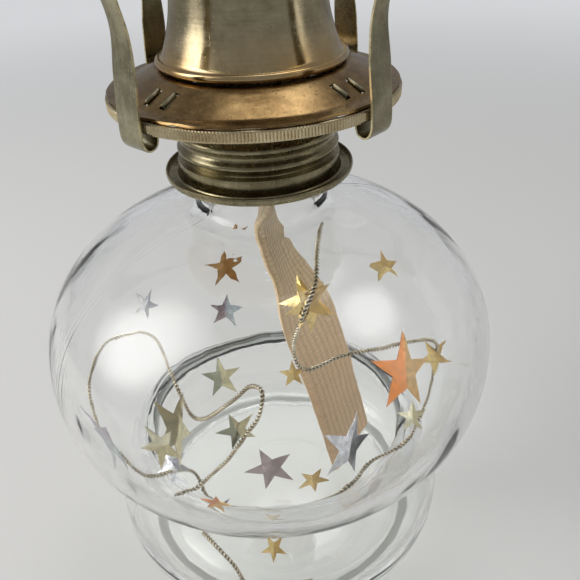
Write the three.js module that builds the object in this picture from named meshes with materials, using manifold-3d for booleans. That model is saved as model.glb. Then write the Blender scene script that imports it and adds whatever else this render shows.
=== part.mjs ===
// Glass oil lamp: a blown clear font with a brass collar, a screw-in flat-wick burner
// with a dome and four chimney springs, and a wire garland of foil stars in the font.
// Millimetres, +Z up. The origin is the centre of the foot, on the table.

import * as THREE from 'three';
import { mergeVertices } from 'three/addons/utils/BufferGeometryUtils.js';
import Module from 'manifold-3d';

const wasm = await Module();
wasm.setup();

// Driving dimensions: glass font
const footRingInner = 35.0;      // inner edge of the flat ring that the lamp stands on
const footRingOuter = 39.8;
const footRadius = 46.8;         // widest part of the foot
const footHeight = 12.9;         // height of that widest part
const waistRadius = 38.0;        // crease between foot and globe
const globeRadius = 55.6;
const globeHalfHeight = 39.2;
const globeRoundness = 2.17;     // exponent of the globe's outline, 2 is an ellipse
const footTop = 32.4;            // height of the crease
const neckRadius = 14.7;
const neckLength = 11.4;         // straight part, from the shoulder to the rim
const globeWall = 2.8;
const footWall = 3.2;
const neckWall = 3.0;
const neckFillet = 2.6;          // where the neck meets the shoulder
const rimRounding = 1.2;
const pushUp = 5.5;              // hollow under the base
const baseThickness = 3.6;

// Driving dimensions: collar, sheet metal and thread
const sheet = 0.5;               // brass sheet of collar, burner and dome
const fitGap = 0.3;              // gap between seated pieces
const threadRadius = 17.3;       // mean outer radius of the collar's rolled thread
const threadDepth = 0.45;
const threadPitch = 3.55;
const threadTurns = 2;
const threadClearance = 0.72;    // between the collar and the burner's thread inside it
const skirtRadius = 17.9;        // plain band below the thread
const skirtHeight = 3.4;
const lipRadius = 20.9;
const lipTurnUp = 1.3;           // height of the lip's upturned rim
const lipBend = 0.7;             // where the rim and the band meet the flat of the lip
const lipDrop = 1.0;             // how far the lip lies below the plain band
const neckInCollar = 3.3;        // how far the glass neck reaches above the lip
const burnerRest = 0.4;          // from the collar's upper edge to the band that rests on it

// Driving dimensions: burner
const bandRadius = 17.4;
const bandHeight = 4.2;
const floorBelowBand = 3.2;
const tubeBelowFloor = 3.5;
const galleryRadius = 30.6;      // outside of the knurled ring
const ringHeight = 2.2;
const ringWall = 1.0;
const knurls = 44;
const knurlDepth = 0.25;
const edgeDroop = 0.2;           // how far the gallery's edge dips below the seat
const galleryRise = 3.6;         // from the chimney seat to the foot of the dome
const seatInset = 1.0;           // from the gallery's edge to the chimney seat
const seatWidth = 1.6;
const domeFoot = 19.6;           // radius of the dome's foot bead
const domeWallRadius = 15.4;
const domeHeight = 26.0;
const domeFlare = 8.2;           // height of the flared foot of the dome
const beadRoll = 0.8;
const beadGroove = 0.5;          // how far the groove above the bead lies in from the bead
const flameSlotLength = 25.2;
const flameSlotWidth = 9.0;
const airHoles = 10;
const airHoleRadius = 1.1;

// Driving dimensions: wick and wick raiser
const wickWidth = 22.0;
const wickThickness = 2.4;
const wickAbove = 1.5;           // wick showing above its tube
const tubeBelowDome = 3.2;       // from the top of the tube to the top of the dome
const wickAngle = 100;           // degrees, direction of the wick's width and of the shaft
const shaftRadius = 1.1;
const shaftClearance = 0.15;
const shaftAboveBandFoot = 2.1;
const wheelTip = 3.6;
const wheelRoot = 2.75;
const wheelTeeth = 10;
const wheelThickness = 1.4;
const wheelSpread = 6.0;         // each wheel's distance from the lamp's axis, along the shaft
const knobRadius = 7.5;
const knobThickness = 2.8;
const knobGrooves = 20;
const knobReach = 37.6;          // from the lamp's axis to the knob's inner face
const knobCap = 0.8;             // metal left over the end of the shaft
const knobDish = 0.6;            // depth of the hollow in either face
const knobRim = 1.6;
const bearingThickness = 1.2;
const bearingHeight = 5.2;
const bearingBeyondWheel = 4.2;  // from a wheel's middle to the bearing's
const sleeveRadius = 1.7;
const sleeveLength = 7.5;

// Driving dimensions: chimney springs
const springCount = 4;
const springThickness = 0.5;
const springWidth = 6.3;
const springNeckWidth = 4.2;
const springTipWidth = 9.5;
const springHeight = 35.5;       // tip above the gallery's rim
const springSideGap = 1.5;       // between the rim and the spring's leg
const tabSpread = 4.6;           // between the two clinched tabs of one spring
const tabShare = 0.52;           // length of a tab as a share of the gallery's cone
const tabThickness = 0.6;
const tabRise = 0.7;

// Driving dimensions: garland
const wireRadius = 0.6;
const foil = 0.4;
const starLarge = 18;            // stars' sizes from tip to tip
const starBroad = 12;
const starMiddle = 10;
const starSmall = 9;
const starTiny = 6.5;
const starTall = 20;
const starWide = 15;
const starWaist = 0.38;          // inner radius of a star as a share of its outer radius
const starGap = 1.2;             // least gap between a star and the glass's ideal curve

const metalSides = 26;           // sides of the turned sheet-metal pieces
const glassSides = 30;

// Places that follow from the sizes above
const globeRise = (radius) => (
  globeHalfHeight * (1 - (radius / globeRadius) ** globeRoundness) ** (1 / globeRoundness)
);
const globeCentre = footTop + globeRise(waistRadius);
const shoulderTop = globeCentre + globeRise(neckRadius);
const neckTop = shoulderTop + neckLength;
const lipFloor = neckTop - neckInCollar;
const threadFoot = lipFloor + lipDrop + skirtHeight;
const threadTop = threadFoot + threadTurns * threadPitch;
const bandFoot = threadTop + burnerRest;
const bandTop = bandFoot + bandHeight;
const ringFoot = bandTop + fitGap;
const seatHeight = ringFoot + ringHeight + fitGap + sheet + edgeDroop;
const galleryTop = seatHeight + galleryRise;
const domeBottom = galleryTop + fitGap;
const domeTop = domeBottom + domeHeight;
const tubeTop = domeTop - tubeBelowDome;
const tubeFoot = bandFoot - floorBelowBand - tubeBelowFloor;
const wickTop = tubeTop + wickAbove;
const shaftHeight = bandFoot + shaftAboveBandFoot;
const shaftOffset = wickThickness / 2 + fitGap + wheelTip;
const tubeInner = { width: wickWidth + 2 * fitGap, depth: wickThickness + 2 * fitGap };
const tubeOuter = { width: tubeInner.width + 2 * sheet, depth: tubeInner.depth + 2 * sheet };
const springLeg = galleryRadius + springSideGap;
const seatOuter = galleryRadius - seatInset;
const seatInner = seatOuter - seatWidth;
const coneAt = (share) => domeFoot + share * (seatInner - domeFoot);
const tabCentre = coneAt(0.57);
const tabLength = tabShare * (seatInner - domeFoot);

const radians = THREE.MathUtils.degToRad;
const v2 = (x, y) => new THREE.Vector2(x, y);
const v3 = (x, y, z) => new THREE.Vector3(x, y, z);

// Materials
const metal = (color, roughness) => new THREE.MeshStandardMaterial({ color, roughness, metalness: 0.9 });
const brass = () => metal(0x9a7a4c, 0.35);
const darkBrass = () => metal(0x5f5136, 0.45);
const paleBrass = () => metal(0x8c8464, 0.38);
const foils = {
  gold: () => metal(0xd0a24a, 0.2),
  orange: () => metal(0xd06a2c, 0.25),
  silver: () => metal(0xb9b6bb, 0.2),
  olive: () => metal(0x8c8a5c, 0.25),
  lilac: () => metal(0xa9a2b2, 0.25),
};
const glass = () => new THREE.MeshStandardMaterial({
  color: 0xdfe4e2, roughness: 0.05, metalness: 0, transparent: true, opacity: 0.35,
});
const cotton = () => new THREE.MeshStandardMaterial({ color: 0xd9b99a, roughness: 0.9, metalness: 0 });
const plaster = () => new THREE.MeshStandardMaterial({ color: 0xcfc8b8, roughness: 0.95, metalness: 0 });

// A geometry with its faces turned outwards
function outward(geometry) {
  const plain = geometry.index ? geometry.toNonIndexed() : geometry;
  const p = plain.attributes.position;
  const [a, b, c] = [v3(), v3(), v3()];
  let volume = 0;
  for (let i = 0; i < p.count; i += 3) {
    a.fromBufferAttribute(p, i);
    b.fromBufferAttribute(p, i + 1);
    c.fromBufferAttribute(p, i + 2);
    volume += a.dot(b.cross(c));
  }
  const merged = onlyPositions(geometry);
  if (volume < 0) {
    const index = merged.index;
    for (let i = 0; i < index.count; i += 3) {
      const first = index.getX(i);
      index.setX(i, index.getX(i + 1));
      index.setX(i + 1, first);
    }
  }
  return merged;
}

function onlyPositions(geometry) {
  const bare = geometry.clone();
  bare.deleteAttribute('normal');
  bare.deleteAttribute('uv');
  const merged = mergeVertices(bare, 1e-4);
  const kept = [];
  for (let i = 0; i < merged.index.count; i += 3) {
    const [a, b, c] = [0, 1, 2].map((k) => merged.index.getX(i + k));
    if (a !== b && b !== c && c !== a) kept.push(a, b, c);
  }
  merged.setIndex(kept);
  return merged;
}

function toSolid(geometry) {
  const merged = outward(geometry);
  return new wasm.Manifold(new wasm.Mesh({
    numProp: 3,
    vertProperties: new Float32Array(merged.attributes.position.array),
    triVerts: new Uint32Array(merged.index.array),
  }));
}

function fromSolid(solid) {
  const mesh = solid.getMesh();
  const geometry = new THREE.BufferGeometry();
  geometry.setAttribute('position', new THREE.BufferAttribute(new Float32Array(mesh.vertProperties), 3));
  geometry.setIndex(new THREE.BufferAttribute(new Uint32Array(mesh.triVerts), 1));
  return geometry;
}

const cut = (base, ...tools) => (
  fromSolid(tools.reduce((solid, tool) => solid.subtract(toSolid(tool)), toSolid(base)))
);
const join = (base, ...more) => (
  fromSolid(more.reduce((solid, next) => solid.add(toSolid(next)), toSolid(base)))
);

// A turned piece: the closed outline is [radius, height] points round the lamp's axis
function turned(outline, sides) {
  const points = outline.map(([r, z]) => v2(r, z));
  if (points[0].x > 1e-6 || points.at(-1).x > 1e-6) points.push(points[0].clone());
  return outward(new THREE.LatheGeometry(points, sides).rotateX(Math.PI / 2));
}

// The closed outline of a sheet whose outer side follows the path
function sheetOutline(path, thickness) {
  const inner = path.map(([r, z], i) => {
    const [r0, z0] = path[Math.max(i - 1, 0)];
    const [r1, z1] = path[Math.min(i + 1, path.length - 1)];
    const length = Math.hypot(r1 - r0, z1 - z0);
    return [r - thickness * (z1 - z0) / length, z + thickness * (r1 - r0) / length];
  });
  return [...path, ...inner.reverse()];
}

function smoothPath(controls, steps) {
  const curve = new THREE.SplineCurve(controls.map(([r, z]) => v2(r, z)));
  return curve.getPoints(steps).map((p) => [p.x, p.y]);
}

function arcPath(r, z, radiusR, radiusZ, from, to, steps) {
  return Array.from({ length: steps + 1 }, (_, i) => {
    const a = radians(from + (to - from) * i / steps);
    return [r + radiusR * Math.cos(a), z + radiusZ * Math.sin(a)];
  });
}

function prism(outline, depth) {
  const shape = new THREE.Shape(outline.map(([x, y]) => v2(x, y)));
  return outward(new THREE.ExtrudeGeometry(shape, { depth, bevelEnabled: false }));
}

const box = (x, y, z) => new THREE.BoxGeometry(x, y, z);
const rod = (radius, length, sides = 20) => new THREE.CylinderGeometry(radius, radius, length, sides);

// Rings of points joined side by side, with flat ends
function loft(rings) {
  const n = rings[0].length;
  const positions = rings.flat().flatMap((p) => [p.x, p.y, p.z]);
  const index = [];
  for (let k = 0; k < rings.length - 1; k++) {
    for (let i = 0; i < n; i++) {
      const [a, b] = [k * n + i, k * n + (i + 1) % n];
      index.push(a, b, b + n, a, b + n, a + n);
    }
  }
  const last = (rings.length - 1) * n;
  for (let i = 1; i < n - 1; i++) index.push(0, i + 1, i, last, last + i, last + i + 1);
  const geometry = new THREE.BufferGeometry();
  geometry.setAttribute('position', new THREE.Float32BufferAttribute(positions, 3));
  geometry.setIndex(index);
  return outward(geometry);
}

const lamp = new THREE.Group();
function add(name, geometry, material, parent = lamp) {
  const mesh = new THREE.Mesh(geometry, material);
  mesh.name = name;
  parent.add(mesh);
  return mesh;
}

// Glass font
const globeReach = (rise, radius, halfHeight) => (
  radius * Math.max(0, 1 - Math.abs(rise / halfHeight) ** globeRoundness) ** (1 / globeRoundness)
);
const insideRadius = globeRadius - globeWall;
const insideHalfHeight = globeHalfHeight - globeWall;
const insideWaist = waistRadius - footWall;
const footBulge = footRadius - footWall - insideWaist;
const ledgeFoot = footTop - footWall;

// Radius of the inner glass wall at a height
function insideAt(height) {
  const globe = globeReach((height - globeCentre) / insideHalfHeight, insideRadius, 1);
  if (height > globeCentre || (height > ledgeFoot && globe > insideWaist)) return globe;
  if (height > ledgeFoot) return insideWaist;
  const rise = (height - footHeight) / (ledgeFoot - footHeight);
  return insideWaist + footBulge * Math.sqrt(Math.max(0, 1 - rise ** 2));
}

// Heights down a globe where its outline passes from the top radius to the bottom radius
function globePath(radius, halfHeight, topRadius, bottomRadius, steps) {
  const angle = (r) => Math.acos(Math.min(1, (r / radius) ** (globeRoundness / 2)));
  const [from, to] = [angle(topRadius), -angle(bottomRadius)];
  return Array.from({ length: steps + 1 }, (_, i) => {
    const a = from + (to - from) * i / steps;
    return [
      radius * Math.cos(a) ** (2 / globeRoundness),
      globeCentre + Math.sign(a) * halfHeight * Math.abs(Math.sin(a)) ** (2 / globeRoundness),
    ];
  });
}

function fontOutline() {
  const neckBore = neckRadius - neckWall;
  const outer = [
    ...arcPath(0, 0.6, footRingInner - 1.5, pushUp - 0.6, 90, 14, 2),
    [footRingInner, 0],
    ...arcPath(footRingOuter, footHeight, footRadius - footRingOuter, footHeight, -90, 0, 3),
    ...arcPath(waistRadius, footHeight, footRadius - waistRadius, footTop - footHeight, 20, 84, 3),
    ...globePath(globeRadius, globeHalfHeight, neckRadius + neckFillet, waistRadius + 0.3, 10).reverse(),
    ...arcPath(neckRadius + neckFillet, shoulderTop + neckFillet, neckFillet, neckFillet, 235, 180, 2),
    ...arcPath(neckRadius - rimRounding, neckTop - rimRounding, rimRounding, rimRounding, 0, 90, 1),
  ];
  const inner = [
    ...arcPath(neckBore + rimRounding, neckTop - rimRounding, rimRounding, rimRounding, 90, 180, 1),
    [neckBore, shoulderTop],
    ...globePath(insideRadius, insideHalfHeight, neckBore + 1.5, insideWaist + 0.4, 8),
    ...arcPath(insideWaist, footHeight, footBulge, ledgeFoot - footHeight, 88, 0, 3),
    ...arcPath(footRingInner, footHeight, footRadius - footWall - footRingInner,
      footHeight - baseThickness, -25, -90, 2),
    ...arcPath(0, baseThickness, footRingInner - 1.5, pushUp, 15, 90, 2),
  ];
  return [...outer, ...inner].map(([r, z]) => [Math.max(r, 0), z]);
}
add('glass_font', turned(fontOutline(), glassSides), glass());

// Collar, cemented on the neck, and the thread that burner and collar share
const threadWave = (z) => threadRadius - threadDepth * Math.cos(2 * Math.PI * (z - threadFoot) / threadPitch);

function threadPath(from, to, inset) {
  const steps = Math.round((to - from) / threadPitch * 4);
  return Array.from({ length: steps + 1 }, (_, i) => {
    const z = from + (to - from) * i / steps;
    return [threadWave(z) - inset, z];
  });
}

const collarPath = [
  [lipRadius - sheet, lipFloor + lipTurnUp],
  [lipRadius - sheet, lipFloor + lipBend],
  [lipRadius - sheet - lipBend, lipFloor],
  [skirtRadius + lipBend, lipFloor],
  [skirtRadius, lipFloor + lipBend],
  [skirtRadius, threadFoot - 0.5],
  ...threadPath(threadFoot, threadTop, 0),
];
add('collar', turned(sheetOutline(collarPath, sheet), metalSides), darkBrass());

const cementRing = [
  [neckRadius + fitGap, lipFloor],
  [skirtRadius - sheet - fitGap, lipFloor + lipDrop],
  [skirtRadius - sheet - fitGap, threadFoot - 0.9],
  [neckRadius + fitGap, threadFoot - 0.9],
];
add('collar_cement', turned(cementRing, metalSides), plaster());

// Burner: threaded cup with the floor that carries the wick tube
const cupPath = [
  ...threadPath(threadFoot + 0.9, threadTop - 0.3, sheet + threadClearance),
  [bandRadius, bandFoot],
  [bandRadius, bandTop],
];
const floorHeight = bandFoot - floorBelowBand;

function acrossWick(geometry) {
  return geometry.rotateZ(radians(wickAngle));
}

function flatTube(width, depth, height, foot) {
  const half = width / 2 - depth / 2;
  const end = (x, from) => arcPath(x, 0, depth / 2, depth / 2, from, from + 180, 6);
  return acrossWick(prism([...end(half, -90), ...end(-half, 90)], height).translate(0, 0, foot));
}

function shaftPiece(geometry, along) {
  geometry.translate(0, along, 0);
  geometry.rotateZ(-Math.PI / 2);
  geometry.translate(0, -shaftOffset, shaftHeight);
  return acrossWick(geometry);
}

const cupWall = turned(sheetOutline(cupPath, sheet), metalSides);
const cupFloor = rod(threadRadius - sheet - threadClearance - 0.03, sheet, metalSides)
  .rotateX(Math.PI / 2).translate(0, 0, floorHeight);
const tubeHole = flatTube(tubeOuter.width + 2 * fitGap, tubeOuter.depth + 2 * fitGap, 8, floorHeight - 4);
const shaftHole = shaftPiece(rod(shaftRadius + shaftClearance, 12), bandRadius);
add('burner_base', cut(join(cupWall, cupFloor), tubeHole, shaftHole), brass());

// Perforated basket that carries the gallery and lets air up to the flame
const basketPath = smoothPath([
  [bandRadius, bandTop + fitGap],
  [bandRadius + 0.9, bandTop + 1.6],
  [bandRadius + 2.3, galleryTop - sheet - fitGap - 2.2],
  [bandRadius + 3.0, galleryTop - sheet - fitGap - 1.0],
], 3);
const airHole = (i) => rod(airHoleRadius, 8, 6).rotateZ(Math.PI / 2)
  .translate(bandRadius + 1.5, 0, bandTop + 2.6)
  .rotateZ(2 * Math.PI * (i + 0.5) / airHoles);
const airCuts = Array.from({ length: airHoles }, (_, i) => airHole(i));
add('air_basket', cut(turned(sheetOutline(basketPath, sheet), metalSides), ...airCuts), brass());

// Gallery plate with its chimney seat, and the knurled ring below its edge
const galleryPath = [
  [domeFoot - 1.6, galleryTop],
  [coneAt(0.11), galleryTop - 0.07 * galleryRise],
  [coneAt(0.4), seatHeight + galleryRise * 0.62],
  [coneAt(0.74), seatHeight + galleryRise * 0.24],
  [coneAt(0.94), seatHeight + galleryRise * 0.02],
  [seatInner, seatHeight],
  [seatOuter, seatHeight],
  [galleryRadius - 0.1, seatHeight - edgeDroop],
];
const galleryHeight = (r) => {
  const i = galleryPath.findIndex(([radius]) => radius > r);
  const [[r0, z0], [r1, z1]] = [galleryPath[i - 1], galleryPath[i]];
  return z0 + (z1 - z0) * (r - r0) / (r1 - r0);
};
const springAngles = Array.from({ length: springCount }, (_, i) => 360 / springCount * (i + 0.5));
const tabSlope = Math.atan2(galleryHeight(tabCentre - 2) - galleryHeight(tabCentre + 2), 4);

function tab(side, length, thickness, rise, sink) {
  return box(length, thickness, rise + sink)
    .translate(0, 0, (rise - sink) / 2)
    .rotateY(tabSlope)
    .translate(tabCentre, side * tabSpread / 2, galleryHeight(tabCentre));
}
const slits = springAngles.flatMap((angle) => [-1, 1].map((side) => (
  tab(side, tabLength + 2.4 * fitGap, tabThickness + 2.4 * fitGap, 2, 2).rotateZ(radians(angle))
)));
const galleryOutline = sheetOutline([...galleryPath].reverse(), sheet);
add('gallery_plate', cut(turned(galleryOutline, metalSides), ...slits), brass());

const knurled = Array.from({ length: 2 * knurls }, (_, i) => {
  const r = galleryRadius - (i % 2 ? knurlDepth : 0);
  const a = Math.PI * i / knurls;
  return [r * Math.cos(a), r * Math.sin(a)];
});
const ringBore = rod(galleryRadius - ringWall, 2 * ringHeight, metalSides).rotateX(Math.PI / 2);
add('knurled_ring', cut(prism(knurled, ringHeight), ringBore).translate(0, 0, ringFoot), brass());

// Dome over the wick tube, with a rolled bead at its foot and the flame slot on top
const domePath = [
  ...arcPath(domeFoot - beadRoll + 0.2, domeBottom + beadRoll, beadRoll, beadRoll, -90, 100, 3),
  ...smoothPath([
    [domeFoot - beadRoll - beadGroove, domeBottom + 2 * beadRoll + 0.3],
    [domeWallRadius + 2.3, domeBottom + domeFlare * 0.42],
    [domeWallRadius + 0.8, domeBottom + domeFlare],
    [domeWallRadius, domeBottom + domeHeight * 0.52],
  ], 4),
  ...arcPath(0, domeBottom + domeHeight * 0.72, domeWallRadius - 0.2, domeHeight * 0.28, 0, 90, 5),
];
const flameSlot = flatTube(flameSlotLength, flameSlotWidth, domeHeight, domeBottom + domeHeight * 0.75);
add('burner_dome', cut(turned(sheetOutline(domePath, sheet), metalSides), flameSlot), brass());

// Wick tube, with the slots that its two wheels reach through
const wheelRoom = () => rod(wheelTip + fitGap, wheelThickness + 2 * fitGap, 24);
const wheelSlot = (side) => shaftPiece(wheelRoom(), side * wheelSpread);
const tubeLength = tubeTop - tubeFoot;
const wickTubeShape = cut(
  flatTube(tubeOuter.width, tubeOuter.depth, tubeLength, tubeFoot),
  flatTube(tubeInner.width, tubeInner.depth, tubeLength + 2, tubeFoot - 1),
  wheelSlot(-1),
  wheelSlot(1),
);
add('wick_tube', wickTubeShape, brass());

// Wick raiser: shaft, two toothed wheels, knob, bearing on the tube and guide sleeve
const wheelOutline = Array.from({ length: 2 * wheelTeeth }, (_, i) => {
  const r = i % 2 ? wheelRoot : wheelTip;
  const a = Math.PI * i / wheelTeeth;
  return [r * Math.sin(a), r * Math.cos(a)];
});
const wheelBore = rod(shaftRadius + fitGap, 3 * wheelThickness).rotateX(Math.PI / 2);
const wheelBlank = () => prism(wheelOutline, wheelThickness).translate(0, 0, -wheelThickness / 2);
const wheelShape = () => cut(wheelBlank(), wheelBore).rotateX(-Math.PI / 2);
const bearingAt = -wheelSpread - bearingBeyondWheel;
const shaftStart = bearingAt - bearingThickness / 2 - 1.0;
const shaftLength = knobReach + knobThickness - knobCap - fitGap - shaftStart;
add('raiser_shaft', shaftPiece(rod(shaftRadius, shaftLength), shaftStart + shaftLength / 2), brass());
add('wick_wheel_front', shaftPiece(wheelShape(), -wheelSpread), darkBrass());
add('wick_wheel_rear', shaftPiece(wheelShape(), wheelSpread), darkBrass());

const knobOutline = Array.from({ length: 2 * knobGrooves }, (_, i) => {
  const r = knobRadius - (i % 2 ? 0.45 : 0);
  const a = Math.PI * i / knobGrooves;
  return [r * Math.cos(a), r * Math.sin(a)];
});
const dish = (z) => rod(knobRadius - knobRim, 2 * knobDish, 24).rotateX(Math.PI / 2).translate(0, 0, z);
const knobHub = rod(shaftRadius + 1.4, knobThickness).rotateX(Math.PI / 2).translate(0, 0, knobThickness / 2);
const knobBore = rod(shaftRadius + fitGap, 2 * (knobThickness - knobCap)).rotateX(Math.PI / 2);
const knobDisc = join(cut(prism(knobOutline, knobThickness), dish(0), dish(knobThickness)), knobHub);
const knobShape = cut(knobDisc, knobBore).rotateX(-Math.PI / 2);
add('raiser_knob', shaftPiece(knobShape, knobReach), brass());

const bearingReach = shaftOffset - tubeOuter.depth / 2 - fitGap;
const bearingWidth = bearingReach + bearingHeight / 2 - 0.2;
const bearingBlock = box(bearingWidth, bearingThickness, bearingHeight)
  .translate(bearingReach - bearingWidth / 2, 0, 0);
const bearingShape = cut(bearingBlock, rod(shaftRadius + shaftClearance, 3 * bearingThickness));
add('raiser_bearing', shaftPiece(bearingShape, bearingAt), brass());

const sleeveStart = Math.sqrt((bandRadius + fitGap) ** 2 - (shaftOffset - sleeveRadius) ** 2) + 0.1;
const sleeveShape = cut(rod(sleeveRadius, sleeveLength), rod(shaftRadius + shaftClearance, 2 * sleeveLength));
add('shaft_sleeve', shaftPiece(sleeveShape, sleeveStart + sleeveLength / 2), brass());

// Wick: straight in its tube, then hanging aside and turning as it nears the base
const wickFall = [[0.3, 100], [1.1, 95], [2.9, 90], [7.2, 79], [12.6, 60], [18.5, 36], [22.5, 20]];
const wickTwist = 52;
const wickLean = -12;            // azimuth that the hanging part leans towards
const wickRing = (centre, along, width) => {
  const [w, t] = [wickWidth / 2, wickThickness / 2];
  const edge = 0.3 * t;
  const corner = [
    [w, -edge], [w, edge], [w - t, t], [t - w, t], [-w, edge], [-w, -edge], [t - w, -t], [w - t, -t],
  ];
  const across = v3().crossVectors(along, width).normalize();
  return corner.map(([x, y]) => centre.clone().addScaledVector(width, x).addScaledVector(across, y));
};
const wickCurve = new THREE.CatmullRomCurve3(
  [[0, wickTop], [0, 125], [0, 108], ...wickFall].map(([out, z]) => v3(
    out * Math.cos(radians(wickLean)), out * Math.sin(radians(wickLean)), z,
  )),
  false, 'centripetal',
);
const wickSteps = 21;
const wickRings = Array.from({ length: wickSteps + 1 }, (_, i) => {
  const u = i / wickSteps;
  const [centre, along] = [wickCurve.getPointAt(u), wickCurve.getTangentAt(u)];
  const twist = wickTwist * THREE.MathUtils.smoothstep(u, 0.36, 0.64);
  const width = v3(1, 0, 0).applyAxisAngle(v3(0, 0, 1), radians(wickAngle - twist));
  width.addScaledVector(along, -width.dot(along)).normalize();
  return wickRing(centre, along, width);
});
add('wick', loft(wickRings), cotton());

// Chimney springs: a foot under the gallery, a curl round the rim and a sprung leaf
const springSink = sheet + 2 * fitGap + springThickness / 2;
const underGallery = (r) => galleryHeight(r) - springSink;
const springPath = new THREE.CatmullRomCurve3([
  [tabCentre - 0.55 * tabLength, underGallery(tabCentre - 0.55 * tabLength)],
  [tabCentre, underGallery(tabCentre)],
  [tabCentre + 0.6 * tabLength, underGallery(tabCentre + 0.6 * tabLength) - 0.15],
  [galleryRadius - ringWall - 1.3, ringFoot + 0.4],
  [galleryRadius - 1.4, ringFoot - 2.2],
  [galleryRadius + 0.3, ringFoot - 2.7],
  [springLeg - 0.1, ringFoot - 1.4],
  [springLeg, ringFoot + 2.6],
  [springLeg - 0.7, ringFoot + 10.0],
  [springLeg - 1.2, ringFoot + 17.5],
  [springLeg - 0.2, ringFoot + 23.0],
  [springLeg + 2.0, ringFoot + 30.0],
  [springLeg + 3.4, seatHeight + springHeight],
].map(([r, z]) => v3(r, 0, z)), false, 'centripetal');
const springWidths = [
  [0, springWidth], [0.45, springWidth], [0.68, springNeckWidth], [0.88, springTipWidth],
  [1, 0.95 * springNeckWidth],
];
function widthAt(u) {
  const i = Math.max(1, springWidths.findIndex(([at]) => at >= u));
  const [[u0, w0], [u1, w1]] = [springWidths[i - 1], springWidths[i]];
  return THREE.MathUtils.lerp(w0, w1, THREE.MathUtils.smoothstep(u, u0, u1));
}
function springShape() {
  const steps = 20;
  const rings = Array.from({ length: steps + 1 }, (_, i) => {
    const u = i / steps;
    const [p, t] = [springPath.getPointAt(u), springPath.getTangentAt(u)];
    const across = v3(-t.z, 0, t.x).multiplyScalar(springThickness / 2);
    const half = widthAt(u) / 2;
    return [[1, 1], [1, -1], [-1, -1], [-1, 1]].map(([a, b]) => (
      p.clone().addScaledVector(across, a).add(v3(0, b * half, 0))
    ));
  });
  const tabs = [-1, 1].map((side) => (
    tab(side, tabLength, tabThickness, tabRise, springSink)
  ));
  return join(loft(rings), ...tabs);
}
springAngles.forEach((angle, i) => {
  add(`chimney_spring_${i + 1}`, springShape().rotateZ(radians(angle)), paleBrass());
});

// Garland. A place in the font is its azimuth in degrees, its height as a share of the way
// from the crease up to the shoulder, less than 0 in the foot, and its reach from the lamp's
// axis as a share of the way to the glass.
const wirePlaces = [
  [-29, 0.93, 0.627], [-58, 0.90, 0.699], [-69, 0.86, 0.768], [-77, 0.80, 0.729], [-80, 0.63, 0.521],
  [-75, 0.54, 0.500], [-53, 0.53, 0.495], [-32, 0.50, 0.582], [-6, 0.37, 0.840], [-4, 0.20, 0.925],
  [-18, 0.14, 0.936], [-37, 0.09, 0.928], [-46, 0.04, 0.919], [-54, -0.03, 0.948], [-79, -0.06, 0.867],
  [-97, -0.12, 0.808], [-113, -0.14, 0.797], [-128, -0.06, 0.857], [-135, 0.03, 0.916],
  [-137, 0.19, 0.952], [-151, 0.26, 0.960], [-171, 0.32, 0.940], [172, 0.36, 0.866], [165, 0.36, 0.672],
  [-171, 0.30, 0.528], [-141, 0.24, 0.536], [-114, 0.40, 0.493], [-102, 0.49, 0.499], [-96, 0.51, 0.551],
  [-97, 0.44, 0.593], [-103, 0.36, 0.628], [-111, 0.25, 0.703], [-122, 0.13, 0.879], [-125, 0.15, 0.943],
];
const footWirePlaces = [
  [-124, -0.16, 0.863], [-115, -0.15, 0.926], [-108, -0.19, 0.949], [-104, -0.27, 0.956],
  [-101, -0.35, 0.921], [-94, -0.37, 0.870], [-80, -0.375, 0.856],
];
function inFont([azimuth, height, reach]) {
  const z = footTop + height * (shoulderTop - footTop);
  const r = reach * insideAt(z);
  return v3(r * Math.cos(radians(azimuth)), r * Math.sin(radians(azimuth)), z);
}
const wireCurve = (places) => new THREE.CatmullRomCurve3(places.map(inFont), false, 'centripetal');
function wireShape(curve, steps, radius) {
  const section = new THREE.Shape(arcPath(0, 0, radius, radius, 0, 315, 7).map(([x, y]) => v2(x, y)));
  const options = { steps, extrudePath: curve, bevelEnabled: false };
  return outward(new THREE.ExtrudeGeometry(section, options));
}
const longWire = wireCurve(wirePlaces);
add('garland_wire', wireShape(longWire, 62, wireRadius), metal(0xb0a684, 0.3));
add('garland_wire_foot', wireShape(wireCurve(footWirePlaces), 13, wireRadius), metal(0xb0a684, 0.3));

function starShape(size) {
  const outline = Array.from({ length: 10 }, (_, i) => {
    const r = size / 2 * (i % 2 ? starWaist : 1);
    const a = Math.PI * (0.5 + i / 5);
    return [r * Math.cos(a), r * Math.sin(a)];
  });
  return prism(outline, foil).translate(0, 0, -foil / 2);
}

// A star turned to face along the normal, then moved inwards until it is clear of the glass
function placeStar(size, place, normal, spin) {
  const turn = new THREE.Quaternion().setFromUnitVectors(v3(0, 0, 1), normal);
  const star = starShape(size).rotateZ(radians(spin)).applyQuaternion(turn);
  star.translate(place.x, place.y, place.z);
  const corner = v3();
  const points = star.attributes.position;
  const middle = v3(0, 0, place.z > footTop ? globeCentre : footHeight);
  const step = middle.sub(place).normalize().multiplyScalar(0.1);
  const clear = () => Array.from({ length: points.count }, (_, i) => {
    corner.fromBufferAttribute(points, i);
    return insideAt(corner.z) - Math.hypot(corner.x, corner.y);
  }).every((gap) => gap > starGap);
  for (let tries = 0; tries < 250 && !clear(); tries++) star.translate(step.x, step.y, step.z);
  return star;
}

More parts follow.
